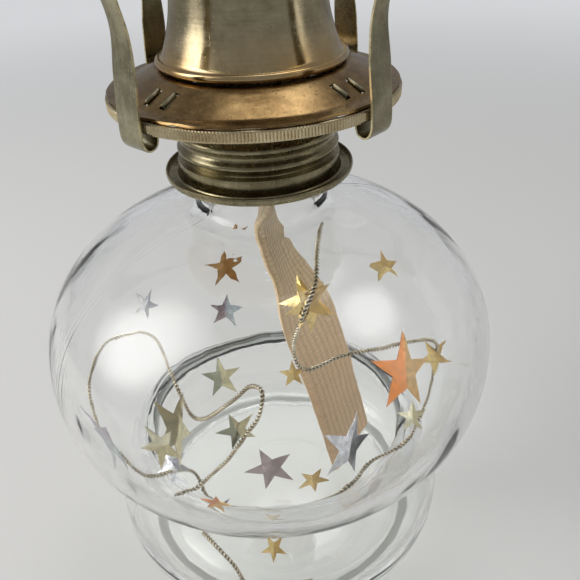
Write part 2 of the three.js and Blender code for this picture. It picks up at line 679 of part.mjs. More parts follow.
// Stars strung on the wire: foil, size, share of the way along the wire, distance from there
// as shares of the size, azimuth and elevation that the face looks towards, and spin
const strungStars = [
  ['star_mid_small', 'gold', starTiny, 0.11825, [-0.27, -0.07, -0.20], -97, 34, 0],
  ['star_right_large', 'orange', starLarge, 0.19475, [0.086, -0.272, -0.252], -50, 32, 14],
  ['star_right_gold', 'gold', starSmall, 0.2535, [-0.080, -0.050, -0.250], -85, 30, 36],
  ['star_right_cream', 'gold', starSmall, 0.326, [-0.119, -0.007, 0.372], -88, 32, 0],
  ['star_front_large', 'silver', starLarge, 0.37275, [-0.254, 0.072, 0.320], -49, 17, 8],
  ['star_left_tall', 'olive', starTall, 0.81875, [-0.205, -0.250, 0.060], -14, 14, 8],
  ['star_left_olive', 'olive', starMiddle, 0.875, [-0.431, 0.177, 0.366], -105, 30, 0],
  ['star_middle_olive', 'olive', starMiddle, 0.93275, [-0.121, 0.229, 0.044], -75, 17, 30],
  ['star_low_white', 'silver', starSmall, 0.498, [-0.030, -0.081, 0.090], -110, 45, 20],
  ['star_end_white', 'silver', starSmall, 0.553, [0.046, 0.092, 0.138], -111, 52, 30],
];
const wireRoom = wireShape(longWire, 62, wireRadius + fitGap);
function strungStar(size, along, offset, towards, up, spin) {
  const normal = v3(1, 0, 0)
    .applyAxisAngle(v3(0, 1, 0), -radians(up))
    .applyAxisAngle(v3(0, 0, 1), radians(towards));
  const place = longWire.getPointAt(along).addScaledVector(v3(...offset), size);
  return placeStar(size, place, normal, spin);
}
for (const [name, colour, size, ...seat] of strungStars) {
  add(name, cut(strungStar(size, ...seat), wireRoom), foils[colour]());
}

// Two stars pinched together on the wire below the neck
const pinchedPair = join(
  strungStar(starBroad, 0.062, [-0.02, 0.10, -0.02], -104, 46, 12),
  strungStar(starBroad, 0.062, [0.06, 0.08, -0.10], -66, 34, 44),
);
add('star_neck_gold', cut(pinchedPair, wireRoom), foils.gold());

// Stars that cling to the glass: foil, size, azimuth, height share and spin
const clingingStars = [
  ['star_wall_mauve', 'lilac', starMiddle, -92, 0.52, 12],
  ['star_wall_small_gold', 'gold', starTiny, -83, 0.46, 0],
  ['star_wall_orange', 'orange', starTiny, -105, 0.36, 30],
  ['star_wall_lilac', 'lilac', starLarge, -138, 0.42, 20],
  ['star_wall_yellow', 'gold', starMiddle, -117, 0.55, 40],
  ['star_foot_gold', 'gold', starTiny, -94, -0.10, 0],
  ['star_back_pale', 'lilac', starBroad, 110, 0.12, 0],
  ['star_back_bronze', 'gold', starWide, 106, 0.32, 15],
  ['star_back_white', 'silver', starMiddle, 141, 0.29, 0],
  ['star_back_gold', 'gold', starBroad, 43, 0.38, 50],
];
for (const [name, colour, size, azimuth, height, spin] of clingingStars) {
  const [low, high] = [inFont([azimuth, height - 0.01, 1]), inFont([azimuth, height + 0.01, 1])];
  const side = v3(-Math.sin(radians(azimuth)), Math.cos(radians(azimuth)), 0);
  const normal = v3().crossVectors(high.clone().sub(low), side).normalize();
  if (normal.dot(v3(low.x, low.y, 0)) > 0) normal.negate();
  const place = inFont([azimuth, height, 1]).addScaledVector(normal, starGap);
  add(name, placeStar(size, place, normal, spin), foils[colour]());
}

export default lamp;
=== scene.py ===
import math

import bmesh
import bpy
from mathutils import Matrix, Vector, noise


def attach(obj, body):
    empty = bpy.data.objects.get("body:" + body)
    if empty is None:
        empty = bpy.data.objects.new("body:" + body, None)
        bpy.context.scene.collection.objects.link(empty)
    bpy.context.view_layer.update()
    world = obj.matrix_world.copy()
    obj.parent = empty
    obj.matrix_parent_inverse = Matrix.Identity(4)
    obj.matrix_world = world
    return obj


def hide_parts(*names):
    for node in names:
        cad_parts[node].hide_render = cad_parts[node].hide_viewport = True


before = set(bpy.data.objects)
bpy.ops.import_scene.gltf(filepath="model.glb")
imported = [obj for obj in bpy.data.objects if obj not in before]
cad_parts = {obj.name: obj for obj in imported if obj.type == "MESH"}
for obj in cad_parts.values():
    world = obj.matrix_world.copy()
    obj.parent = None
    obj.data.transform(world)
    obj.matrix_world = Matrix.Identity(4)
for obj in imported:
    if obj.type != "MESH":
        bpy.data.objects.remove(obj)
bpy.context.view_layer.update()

# Glass oil lamp, in millimetres until finished() scales it. The studio's lamps are in metres
MM = 0.001

# Sizes of the glass, radii where nothing else is said
FOOT_RING = (35.0, 39.8)    # inner and outer radius of the ring that the lamp stands on
FOOT = (46.8, 12.9)         # radius and height of the foot where it is widest
WAIST = (38.0, 32.4)        # radius and height of the crease
GLOBE = 55.6
GLOBE_HALF_HEIGHT = 39.2
ROUNDNESS = 2.17            # exponent of the globe's outline, 2 is an ellipse
GLOBE_WALL = 2.8
FOOT_WALL = 3.2
NECK = 14.7
NECK_WALL = 3.0
NECK_FILLET = 2.6
PUSH_UP = 5.5               # hollow under the foot
BASE_WALL = 3.6

# Sizes of the metal, the same way
SHEET = 0.5                 # thickness of the brass
GAP = 0.3                   # between seated pieces
THREAD = 17.3
THREAD_DEPTH = 0.45
THREAD_PITCH = 3.55
THREAD_CLEARANCE = 0.72
SKIRT = 17.9
LIP = 20.9
LIP_TURN_UP = 1.3
BAND = 17.4
GALLERY = 30.6
KNURLS = 304
AIR_HOLES = 10
AIR_HOLE = 1.1
DOME_FOOT = 19.6
DOME_WALL = 15.4
DOME_HEIGHT = 26.0
DOME_CROWN = 0.28           # the rounded top's share of the height
BEAD = 0.8
BEAD_GROOVE = 0.5
FLAME_SLOT = (25.2, 9.0)    # length and width
SPRING_AZIMUTHS = [math.radians(45 + 90 * i) for i in range(4)]

# Sizes of the wick and its raiser
WICK = (22.0, 2.4)          # width and thickness
WICK_AZIMUTH = math.radians(100)
TUBE_BORE = (WICK[0] + 0.6, WICK[1] + 0.6)
TUBE_SIZE = (WICK[0] + 1.6, WICK[1] + 1.6)
WHEEL = (3.6, 1.4)          # radius over the teeth, and thickness
WHEEL_SPREAD = 6.0
SHAFT_RADIUS = 1.1
SHAFT_BORE = 1.25
BEARING = (1.2, 5.2)        # thickness and height
BEARING_AT = 10.2
KNOB_REACH = 37.6
KNOB_THICKNESS = 2.8
KNOB_CAP = 0.8              # metal over the end of the shaft

# Heights, from the table up
GLOBE_CENTRE = 62.4617      # puts the globe's curve on the crease
SHOULDER = 100.6389         # where that curve meets the neck
NECK_TOP = SHOULDER + 11.4
LIP_FLOOR = NECK_TOP - 3.3
THREAD_FOOT = LIP_FLOOR + 4.4
THREAD_TOP = THREAD_FOOT + 2 * THREAD_PITCH
BAND_FOOT = THREAD_TOP + 0.4
BAND_TOP = BAND_FOOT + 4.2
CUP_FLOOR = BAND_FOOT - 3.2
RING_FOOT = BAND_TOP + GAP
RING_TOP = RING_FOOT + 2.2
SEAT = RING_TOP + GAP + SHEET + 0.2
GALLERY_TOP = SEAT + 3.6
DOME_BOTTOM = GALLERY_TOP + GAP
TUBE_FOOT = CUP_FLOOR - 3.5
TUBE_TOP = DOME_BOTTOM + DOME_HEIGHT - 3.2
WICK_TOP = TUBE_TOP + 1.5
SHAFT = BAND_FOOT + 2.1
SHAFT_OFFSET = WICK[1] / 2 + GAP + WHEEL[0]     # from the wick's middle to the shaft


# Paths
def eased(value, start, end):
    """The value's place from start to end, smooth and held inside 0 and 1."""
    t = max(0, min(1, (value - start) / (end - start)))
    return t * t * (3 - 2 * t)


def arc(centre, radii, start, end, steps):
    angles = [math.radians(start + (end - start) * i / steps) for i in range(steps + 1)]
    return [(centre[0] + radii[0] * math.cos(a), centre[1] + radii[1] * math.sin(a))
            for a in angles]


def through(points, steps):
    """Evenly spaced points of the smooth curve through these points."""
    knots = [Vector(p).to_3d() if len(p) == 3 else Vector((p[0], p[1], 0)) for p in points]
    ends = [2 * knots[0] - knots[1], *knots, 2 * knots[-1] - knots[-2]]
    dense = []
    for p0, p1, p2, p3 in zip(ends, ends[1:], ends[2:], ends[3:]):
        t0 = 0.0
        t1 = t0 + (p1 - p0).length ** 0.5
        t2 = t1 + (p2 - p1).length ** 0.5
        t3 = t2 + (p3 - p2).length ** 0.5
        for k in range(24):
            t = t1 + (t2 - t1) * k / 24
            a = p0.lerp(p1, (t - t0) / (t1 - t0))
            b = p1.lerp(p2, (t - t1) / (t2 - t1))
            c = p2.lerp(p3, (t - t2) / (t3 - t2))
            d = a.lerp(b, (t - t0) / (t2 - t0))
            e = b.lerp(c, (t - t1) / (t3 - t1))
            dense.append(d.lerp(e, (t - t1) / (t2 - t1)))
    dense.append(knots[-1])
    reach = [0.0]
    for a, b in zip(dense, dense[1:]):
        reach.append(reach[-1] + (b - a).length)
    spaced, k = [], 0
    for i in range(steps + 1):
        want = reach[-1] * i / steps
        while k < len(dense) - 2 and reach[k + 1] < want:
            k += 1
        share = (want - reach[k]) / max(reach[k + 1] - reach[k], 1e-9)
        spaced.append(dense[k].lerp(dense[k + 1], min(share, 1.0)))
    return spaced


def smooth_path(points, steps):
    return [(p.x, p.y) for p in through(points, steps)]


def sheet_profile(path, thickness):
    """The closed, round-edged outline of sheet metal whose outer side follows the path."""
    inner, outer = [], []
    last = len(path) - 1
    for i, (r, z) in enumerate(path):
        (r0, z0), (r1, z1) = path[max(i - 1, 0)], path[min(i + 1, last)]
        length = math.hypot(r1 - r0, z1 - z0)
        across = (-(z1 - z0) / length, (r1 - r0) / length)
        ease = 0.28 * thickness if i in (0, last) else 0
        outer.append((r + ease * across[0], z + ease * across[1]))
        reach = thickness - ease
        inner.append((r + reach * across[0], z + reach * across[1]))
    return outer + inner[::-1]


def thread(z):
    return THREAD - THREAD_DEPTH * math.cos(2 * math.pi * (z - THREAD_FOOT) / THREAD_PITCH)


def thread_path(start, end, inset, steps):
    heights = [start + (end - start) * i / steps for i in range(steps + 1)]
    return [(thread(z) - inset, z) for z in heights]


def globe_path(radius, half_height, top, bottom, steps):
    def angle(r):
        return math.acos(min(1, (r / radius) ** (ROUNDNESS / 2)))
    start, end = angle(top), -angle(bottom)
    path = []
    for i in range(steps + 1):
        a = start + (end - start) * i / steps
        rise = math.copysign(abs(math.sin(a)) ** (2 / ROUNDNESS), a)
        path.append((radius * math.cos(a) ** (2 / ROUNDNESS), GLOBE_CENTRE + half_height * rise))
    return path


INNER_GLOBE = GLOBE - GLOBE_WALL
INNER_HALF = GLOBE_HALF_HEIGHT - GLOBE_WALL
INNER_WAIST = WAIST[0] - FOOT_WALL
FOOT_BULGE = FOOT[0] - FOOT_WALL - INNER_WAIST
LEDGE = WAIST[1] - FOOT_WALL


def inside(z):
    """Radius of the font's inner wall at a height."""
    share = abs((z - GLOBE_CENTRE) / INNER_HALF) ** ROUNDNESS
    globe = INNER_GLOBE * max(0, 1 - share) ** (1 / ROUNDNESS)
    if z > GLOBE_CENTRE or (z > LEDGE and globe > INNER_WAIST):
        return globe
    if z > LEDGE:
        return INNER_WAIST
    rise = (z - FOOT[1]) / (LEDGE - FOOT[1])
    return INNER_WAIST + FOOT_BULGE * math.sqrt(max(0, 1 - rise ** 2))


def in_font(azimuth, share, reach):
    """A point at a share of the height from crease to shoulder and of the way to the wall."""
    z = WAIST[1] + share * (SHOULDER - WAIST[1])
    r = reach * inside(z)
    a = math.radians(azimuth)
    return Vector((r * math.cos(a), r * math.sin(a), z))


# Pieces
def as_mesh(bm, name):
    mesh = bpy.data.meshes.new(name)
    bm.to_mesh(mesh)
    bm.free()
    return mesh


def linked(name, data):
    made = bpy.data.objects.new(name, data)
    bpy.context.scene.collection.objects.link(made)
    return made


def finished(bm, name, material, body, node, slot, sharp=35):
    """A bmesh in millimetres becomes a piece that rides on a body and stands for a node."""
    bmesh.ops.scale(bm, vec=(MM, MM, MM), verts=bm.verts)
    mesh = as_mesh(bm, name)
    mesh.shade_smooth()
    if sharp:
        mesh.set_sharp_from_angle(angle=math.radians(sharp))
    mesh.materials.append(material)
    piece = linked(name, mesh)
    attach(piece, body)
    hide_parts(node)
    return piece


def turned(profile, steps=144):
    """A closed outline of radius and height, spun round the lamp's axis."""
    bm = bmesh.new()
    ring = [bm.verts.new((max(r, 0), 0, z)) for r, z in profile]
    edges = [bm.edges.new((a, b)) for a, b in zip(ring, ring[1:] + ring[:1])]
    bmesh.ops.spin(bm, geom=ring + edges, cent=(0, 0, 0), axis=(0, 0, 1), angle=2 * math.pi,
                   steps=steps, use_merge=True)
    bmesh.ops.remove_doubles(bm, verts=bm.verts, dist=1e-3)
    bmesh.ops.recalc_face_normals(bm, faces=bm.faces)
    return bm


def knurled(bm, sides, period, edge, depth):
    """A turned piece, its edge pulled in by depth over half of every period of its sides."""
    for vert in bm.verts:
        r = math.hypot(vert.co.x, vert.co.y)
        side = round(math.atan2(vert.co.y, vert.co.x) * sides / (2 * math.pi))
        if r > edge and side % period >= period / 2:
            vert.co.xy *= (r - depth) / r
    return bm


def skin(rows, columns, place):
    """A grid bent to place(along, round) and closed into a capped tube."""
    bm = bmesh.new()
    bmesh.ops.create_grid(bm, x_segments=rows, y_segments=columns, size=0.5, calc_uvs=True)
    if not bm.loops.layers.uv:
        bm.loops.layers.uv.new("UVMap")
    paper = bm.loops.layers.uv.active
    for face in bm.faces:
        for loop in face.loops:
            loop[paper].uv = (loop.vert.co.x + 0.5, loop.vert.co.y + 0.5)
    for vert in bm.verts:
        vert.co = place(vert.co.x + 0.5, vert.co.y + 0.5)
    bmesh.ops.remove_doubles(bm, verts=bm.verts, dist=1e-4)
    bmesh.ops.holes_fill(bm, edges=[e for e in bm.edges if e.is_boundary], sides=0)
    bmesh.ops.recalc_face_normals(bm, faces=bm.faces)
    return bm


def cut_away(bm, *tools):
    """The bmesh less the tools, which are bmeshes too."""
    work = linked("blank", as_mesh(bm, "blank"))
    cutters = [linked("cutter", as_mesh(tool, "cutter")) for tool in tools]
    for cutter in cutters:
        difference = work.modifiers.new("cut", "BOOLEAN")
        difference.object = cutter
        difference.operation = "DIFFERENCE"
        difference.solver = "EXACT"
    bpy.context.view_layer.update()
    result = bmesh.new()
    result.from_object(work, bpy.context.evaluated_depsgraph_get())
    for made in [work, *cutters]:
        mesh = made.data
        bpy.data.objects.remove(made)
        bpy.data.meshes.remove(mesh)
    bmesh.ops.recalc_face_normals(result, faces=result.faces)
    return result


def block(x, y, z, soften=0.0):
    bm = bmesh.new()
    bmesh.ops.create_cube(bm, size=1.0)
    bmesh.ops.scale(bm, vec=(x, y, z), verts=bm.verts)
    if soften:
        bmesh.ops.bevel(bm, geom=bm.edges[:], offset=soften, segments=2, profile=0.5,
                        affect="EDGES", material=-1)
    return bm


def drum(radius, length, sides=48, tip=0.0):
    """A closed cylinder along Z, its ends softened by tip."""
    bm = bmesh.new()
    bmesh.ops.create_cone(bm, cap_ends=True, segments=sides, radius1=radius, radius2=radius,
                          depth=length)
    if tip:
        rims = [e for e in bm.edges if abs(e.calc_face_angle(0)) > 1]
        bmesh.ops.bevel(bm, geom=rims, offset=tip, segments=2, profile=0.5, affect="EDGES",
                        material=-1)
    return bm


def moved(bm, *matrices):
    for matrix in matrices:
        bmesh.ops.transform(bm, matrix=matrix, verts=bm.verts)
    return bm


def merged(target, *others):
    for other in others:
        mesh = as_mesh(other, "joined")
        target.from_mesh(mesh)
        bpy.data.meshes.remove(mesh)
    return target


def shift(x, y, z):
    return Matrix.Translation((x, y, z))


def turn(axis, angle):
    return Matrix.Rotation(angle, 4, axis)


def flat_tube(width, depth, height, foot):
    """A solid of a flat wick tube's outline, across the lamp at the wick's azimuth."""
    bm = bmesh.new()
    bmesh.ops.create_circle(bm, cap_ends=True, segments=48, radius=depth / 2)
    half = (width - depth) / 2
    for vert in bm.verts:
        vert.co.x += math.copysign(half, vert.co.x) if abs(vert.co.x) > 1e-6 else 0
    wall = bmesh.ops.extrude_face_region(bm, geom=bm.faces[:])
    top = [g for g in wall["geom"] if isinstance(g, bmesh.types.BMVert)]
    bmesh.ops.translate(bm, vec=(0, 0, height), verts=top)
    bmesh.ops.recalc_face_normals(bm, faces=bm.faces)
    return moved(bm, shift(0, 0, foot), turn("Z", WICK_AZIMUTH))


def on_shaft(bm, along):
    """Moves what stands on Z to the wick raiser's shaft, that far from the lamp's axis."""
    return moved(bm, turn("X", -math.pi / 2), shift(0, along, 0), turn("Z", -math.pi / 2),
                 shift(0, -SHAFT_OFFSET, SHAFT), turn("Z", WICK_AZIMUTH))


# Finishes
class Out:
    """An output of a finish's nodes, for sums written with the usual signs."""

    def __init__(self, finish, socket):
        self.finish = finish
        self.socket = socket

    def maths(self, operation, *values):
        return self.finish.node("ShaderNodeMath", {"operation": operation}, dict(enumerate(values)))

    def __add__(self, other):
        return self.maths("ADD", self, other)

    def __radd__(self, other):
        return self.maths("ADD", other, self)

    def __sub__(self, other):
        return self.maths("SUBTRACT", self, other)

    def __mul__(self, other):
        return self.maths("MULTIPLY", self, other)

    def __abs__(self):
        return self.maths("ABSOLUTE", self)

    def __pow__(self, other):
        return self.maths("POWER", self, other)

    def sine(self):
        return self.maths("SINE", self)

    def fraction(self):
        return self.maths("FRACT", self)

    def floor(self):
        return self.maths("FLOOR", self)

    def span(self, low, high, start=0.0, end=1.0):
        """The value's place from low to high, smooth and held inside start and end."""
        settings = {"interpolation_type": "SMOOTHSTEP"}
        return self.finish.node("ShaderNodeMapRange", settings, {
            "Value": self, "From Min": low, "From Max": high, "To Min": start, "To Max": end})


class Finish:
    """A material whose surface comes from nodes."""

    def __init__(self, name, **fixed):
        self.material = bpy.data.materials.new(name)
        self.material.use_nodes = True
        self.tree = self.material.node_tree
        self.shader = self.tree.nodes["Principled BSDF"]
        for socket, value in fixed.items():
            self.shader.inputs[socket.replace("_", " ")].default_value = value
        self.where = self.tree.nodes.new("ShaderNodeTexCoord")

    def node(self, kind, settings, sockets, output=0):
        made = self.tree.nodes.new(kind)
        for key, value in settings.items():
            if key == "stops":
                ramp = made.color_ramp
                while len(ramp.elements) < len(value):
                    ramp.elements.new(0.5)
                for element, (at, colour) in zip(ramp.elements, value):
                    element.position = at
                    element.color = (*colour, 1)
            else:
                setattr(made, key, value)
        for key, value in sockets.items():
            socket = made.inputs[key]
            if isinstance(value, Out):
                self.tree.links.new(value.socket, socket)
            elif isinstance(value, tuple) and len(value) == 3 and socket.type == "RGBA":
                socket.default_value = (*value, 1)
            else:
                socket.default_value = value
        return Out(self, made.outputs[output])

    def place(self, stretch=(1, 1, 1)):
        """Object coordinates in millimetres, each multiplied by its stretch."""
        scale = tuple(1000 * s for s in stretch)
        spot = Out(self, self.where.outputs["Object"])
        return self.node("ShaderNodeVectorMath", {"operation": "MULTIPLY"}, {0: spot, 1: scale})

    def paper(self):
        """The two places on a piece's own UV map: along and round, or across and up."""
        return self.axes(Out(self, self.where.outputs["UV"]))[:2]

    def axes(self, spot):
        return [self.node("ShaderNodeSeparateXYZ", {}, {0: spot}, k) for k in range(3)]

    def noise(self, spot, scale, detail=3.0, roughness=0.5):
        """Cloudy noise from 0 to 1, with scale features in a millimetre."""
        return self.node("ShaderNodeTexNoise", {}, {
            "Vector": spot, "Scale": scale, "Detail": detail, "Roughness": roughness})

    def colours(self, factor, *stops):
        return self.node("ShaderNodeValToRGB", {"stops": stops}, {"Fac": factor})

    def mix(self, factor, first, second):
        sockets = {0: factor, 6: first, 7: second}
        return self.node("ShaderNodeMix", {"data_type": "RGBA"}, sockets, 2)

    def bump(self, height, depth):
        """Relief from a height of 0 to 1 that stands for depth, in millimetres."""
        return self.node("ShaderNodeBump", {}, {
            "Strength": 1.0, "Distance": depth * MM, "Height": height})

    def drive(self, **sockets):
        for socket, value in sockets.items():
            self.tree.links.new(value.socket, self.shader.inputs[socket.replace("_", " ")])
        return self.material

    def coat(self, colour, rough, relief, depth):
        return self.drive(Base_Color=colour, Roughness=rough, Normal=self.bump(relief, depth))

    def plain(self):
        return Out(self, self.shader.outputs[0])

    def blend(self, factor, first, second):
        return self.node("ShaderNodeMixShader", {}, {0: factor, 1: first, 2: second})

    def show(self, surface):
        """Shows this surface in place of the plain one."""
        self.tree.links.new(surface.socket, self.tree.nodes["Material Output"].inputs["Surface"])
        return self.material


def aged_brass(name, dark, mid, light, roughness, patina=0.5, grain=(0.06, 0.06, 1.6)):
    """Brass sheet with a mottled patina, fine brushed grain, specks and small scratches."""
    brass = Finish(name, Metallic=1.0, Specular_IOR_Level=0.5)
    spot = brass.place()
    cloud = brass.noise(spot, 0.16, 6, 0.62)
    fine = brass.noise(spot, 1.1, 4, 0.6)
    brushed = brass.noise(brass.place(grain), 1.6, 5, 0.7)
    tone = cloud * 0.62 + fine * 0.18 + brushed * 0.20
    body = brass.colours(tone, (0.30, dark), (0.47, mid), (0.66, light))
    spots = brass.noise(spot, 2.6, 2, 0.5).span(0.66, 0.74)
    tarnish = tuple(0.42 * c for c in dark)
    colour = brass.mix(spots * patina, body, tarnish)
    dull = brass.noise(spot, 0.35, 5, 0.6)
    rough = roughness + (dull - 0.5) * 0.26 + (brushed - 0.5) * 0.16 + spots * 0.18
    rough = rough.span(0.05, 0.9, 0.05, 0.9)
    crosswise = brass.place((grain[2], grain[2] * 0.12, grain[0]))
    scratch = brass.noise(crosswise, 1.3, 3, 0.7).span(0.68, 0.72)
    relief = brushed * 0.5 + fine * 0.35 - scratch * 0.4 - spots * 0.35
    return brass, colour, rough, relief


def brass_finish(name, *looks, depth=0.02):
    brass, colour, rough, relief = aged_brass(name, *looks)
    return brass.coat(colour, rough, relief, depth)


GALLERY_FINISH = brass_finish(
    "gallery brass", (0.115, 0.067, 0.026), (0.235, 0.148, 0.062), (0.385, 0.255, 0.112), 0.32, 0.8,
    (0.25, 0.25, 0.9), depth=0.03)
RING_FINISH = brass_finish(
    "knurled brass", (0.28, 0.21, 0.12), (0.50, 0.41, 0.25), (0.68, 0.60, 0.41), 0.34, 0.5)
BURNER_FINISH = brass_finish(
    "burner brass", (0.17, 0.13, 0.075), (0.33, 0.265, 0.16), (0.48, 0.39, 0.25), 0.34, 0.6)


def dome_finish():
    """Spun brass, greyer on the wall, with a painted warm reflection on the flare."""
    brass, colour, rough, relief = aged_brass(
        "dome brass", (0.22, 0.18, 0.11), (0.39, 0.33, 0.21), (0.55, 0.48, 0.32), 0.26, 0.35)
    z = brass.axes(brass.place())[2]
    # Painted reflection: warm orange on the flare, broken up into patches
    flare = z.span(DOME_BOTTOM + 0.5, DOME_BOTTOM + 10, 1, 0)
    warm_reflection_patches = brass.noise(brass.place(), 0.09, 3, 0.5).span(0.3, 0.7, 0.25, 0.75)
    colour = brass.mix(flare * warm_reflection_patches, colour, (0.60, 0.37, 0.14))
    return brass.coat(colour, rough, relief, 0.02)


def spring_finish():
    """Dull olive brass drawn along the leaf, with bright worn edges."""
    brass, colour, rough, relief = aged_brass(
        "spring brass", (0.14, 0.125, 0.08), (0.27, 0.245, 0.16), (0.41, 0.38, 0.26), 0.34, 0.5,
        (1.4, 1.4, 0.05))
    around = brass.paper()[1]
    left = abs(around - 0.482).span(0.014, 0.034, 1, 0)
    right = abs(around - 0.982).span(0.014, 0.030, 1, 0)
    wear = (left + right) * brass.noise(brass.place(), 0.8, 4, 0.6).span(0.30, 0.55)
    colour = brass.mix(wear * 0.8, colour, (0.68, 0.58, 0.34))
    return brass.coat(colour, rough, relief, 0.02)


def collar_finish():
    """Dark olive patina, with the faint soldered seam down the front of the collar."""
    brass, colour, rough, relief = aged_brass(
        "collar brass", (0.11, 0.095, 0.055), (0.24, 0.205, 0.12), (0.41, 0.365, 0.23), 0.33, 0.75)
    x, y = brass.axes(brass.place())[:2]
    seam = abs(x - 2.6).span(0.04, 0.16, 1, 0) * y.span(-1, 0, 1, 0)
    broken = brass.noise(brass.place((1, 1, 2)), 0.5, 3, 0.6).span(0.35, 0.6)
    colour = brass.mix(seam * broken * 0.5, colour, (0.52, 0.47, 0.32))
    relief = relief + seam * 0.6
    return brass.coat(colour, rough, relief, 0.03)


DOME_FINISH = dome_finish()
SPRING_FINISH = spring_finish()


def clear_glass():
    """Clear glass with mould waves, the two mould seams, a wavy neck and a little dust inside."""
    glass = Finish("clear glass", Roughness=0.0, IOR=1.47, Transmission_Weight=1.0,
                   Base_Color=(0.985, 0.99, 0.985, 1))
    spot = glass.place()
    x, y, z = glass.axes(spot)
    waves = glass.noise(spot, 0.035, 2, 0.4)
    ripples = glass.noise(glass.place((1, 1, 0.5)), 0.13, 2, 0.5)
    neck = z.span(SHOULDER - 6, SHOULDER + 1)
    knots = glass.noise(glass.place((1, 1, 0.8)), 0.22, 1, 0.4) * neck
    seam_azimuth = math.radians(28)
    side = abs(x * math.sin(seam_azimuth) - y * math.cos(seam_azimuth))
    seam = side.span(0.10, 0.55, 1, 0)
    relief = waves * 0.8 + ripples * 0.06 + knots * 0.18 + seam * 0.02
    glass.drive(Normal=glass.bump(relief, 1.0))
    specks = glass.noise(spot, 3.4, 1, 0.5).span(0.77, 0.80)
    dust = specks * glass.noise(spot, 0.06, 2, 0.5).span(0.42, 0.62)
    speck = glass.node("ShaderNodeBsdfDiffuse", {}, {"Color": (0.85, 0.85, 0.83)})
    dusty = glass.blend(dust * 0.8, glass.plain(), speck)
    rays = glass.node("ShaderNodeLightPath", {}, {}, "Is Shadow Ray")
    veil = glass.node("ShaderNodeBsdfTransparent", {}, {"Color": (0.96, 0.97, 0.965)})
    return glass.show(glass.blend(rays, dusty, veil))


def woven_cotton():
    """Flat woven wick: ribs along the tape with threads that cross them in turn, and painted shade
    between the ribs.
    """
    cotton = Finish("wick cotton", Specular_IOR_Level=0.2, Sheen_Weight=0.35, Sheen_Roughness=0.5)
    along, across = cotton.paper()
    z = cotton.axes(cotton.place())[2]
    ribs = across * WICK_RIBS
    step = along * WICK_THREADS + ribs.floor() * 0.5
    rib = (ribs * 2 * math.pi - math.pi / 2).sine() * 0.5 + 0.5
    stitch = ((step + (ribs.fraction() - 0.5) * 0.35) * 2 * math.pi).sine() * 0.5 + 0.5
    height = rib ** 0.6 * (stitch * 0.55 + 0.45)
    fuzz = cotton.noise(cotton.place(), 1.8, 5, 0.7)
    stain = cotton.noise(cotton.place(), 0.07, 3, 0.6) * 0.4
    # Random stains, and darker towards the bottom
    stains_and_low_darkening = (stain + z.span(28, 118, 0.55, 0)).span(0.1, 0.75)
    tape_tone = cotton.mix(stains_and_low_darkening, (0.99, 0.80, 0.51), (0.77, 0.50, 0.26))
    # Painted shade in the hollows between the ribs, stronger higher up
    depth = height.span(0.05, 0.75, 0.46, 0) * z.span(66, 96, 0.85, 1.3)
    shade = cotton.mix(depth, tape_tone, (0.42, 0.26, 0.13))
    char = z.span(WICK_TOP - 2.2, WICK_TOP - 0.2)
    burnt = cotton.mix(char * 0.75, shade, (0.10, 0.07, 0.05))
    colour = cotton.mix(fuzz.span(0.35, 0.7, 0, 0.22), burnt, (0.98, 0.83, 0.58))
    return cotton.coat(colour, fuzz.span(0.2, 0.8, 0.82, 0.96), height + fuzz * 0.25, 0.32)


def foil_finish(name, left, right, roughness=0.2):
    """Metallized foil with painted light on one side of its fold and painted shade on the other,
    painted shade in its creases, and worn at its points.
    """
    foil = Finish(name, Metallic=1.0)
    across, up = foil.paper()
    spot = foil.place()
    crease = foil.noise(spot, 0.55, 4, 0.6)
    grain = foil.noise(spot, 5.0, 2, 0.5)
    # Painted light and shade: one colour on each side of the fold
    fold_light_and_shade = foil.mix((across + (crease - 0.5) * 0.10).span(0.47, 0.53), left, right)
    # Painted shade in the hollows of the creases
    body = foil.mix(crease.span(0.35, 0.65, 0.35, 0), fold_light_and_shade, tuple(0.3 * c for c in right))
    reach = (across - 0.5) * (across - 0.5) + (up - 0.5) * (up - 0.5)
    worn = reach.span(0.12, 0.25) * grain.span(0.45, 0.6)
    colour = foil.mix(worn * 0.35, body, (0.80, 0.79, 0.76))
    rough = roughness + (grain - 0.5) * 0.1 + (crease - 0.5) * 0.12
    return foil.coat(colour, rough, crease * 0.8 + grain * 0.2, 0.10)


def wire_finish():
    """Two strands of pale gold wire, with painted shade where they meet."""
    wire = Finish("twisted wire", Metallic=1.0)
    around = wire.paper()[1]
    spot = wire.place()
    tarnish = wire.noise(spot, 0.3, 4, 0.6)
    # Painted shade where the two strands meet
    strand_contact_shade = abs(around - 0.5).span(0.10, 0.34, 1, 0)
    back = wire.colours(tarnish, (0.35, (0.36, 0.29, 0.18)), (0.65, (0.80, 0.72, 0.54)))
    colour = wire.mix(strand_contact_shade * 0.9, back, (0.07, 0.05, 0.03))
    return wire.drive(Base_Color=colour, Roughness=0.24 + strand_contact_shade * 0.4)


def plaster_finish():
    plaster = Finish("plaster cement", Specular_IOR_Level=0.2)
    grain = plaster.noise(plaster.place(), 1.4, 5, 0.7)
    colour = plaster.colours(grain, (0.3, (0.62, 0.58, 0.50)), (0.7, (0.82, 0.79, 0.72)))
    return plaster.coat(colour, grain.span(0.2, 0.8, 0.85, 0.95), grain, 0.15)


# The camera stands where the photograph was taken
PHOTO_FOCUS = 640           # pixels, like the side
PHOTO_SIDE = 580


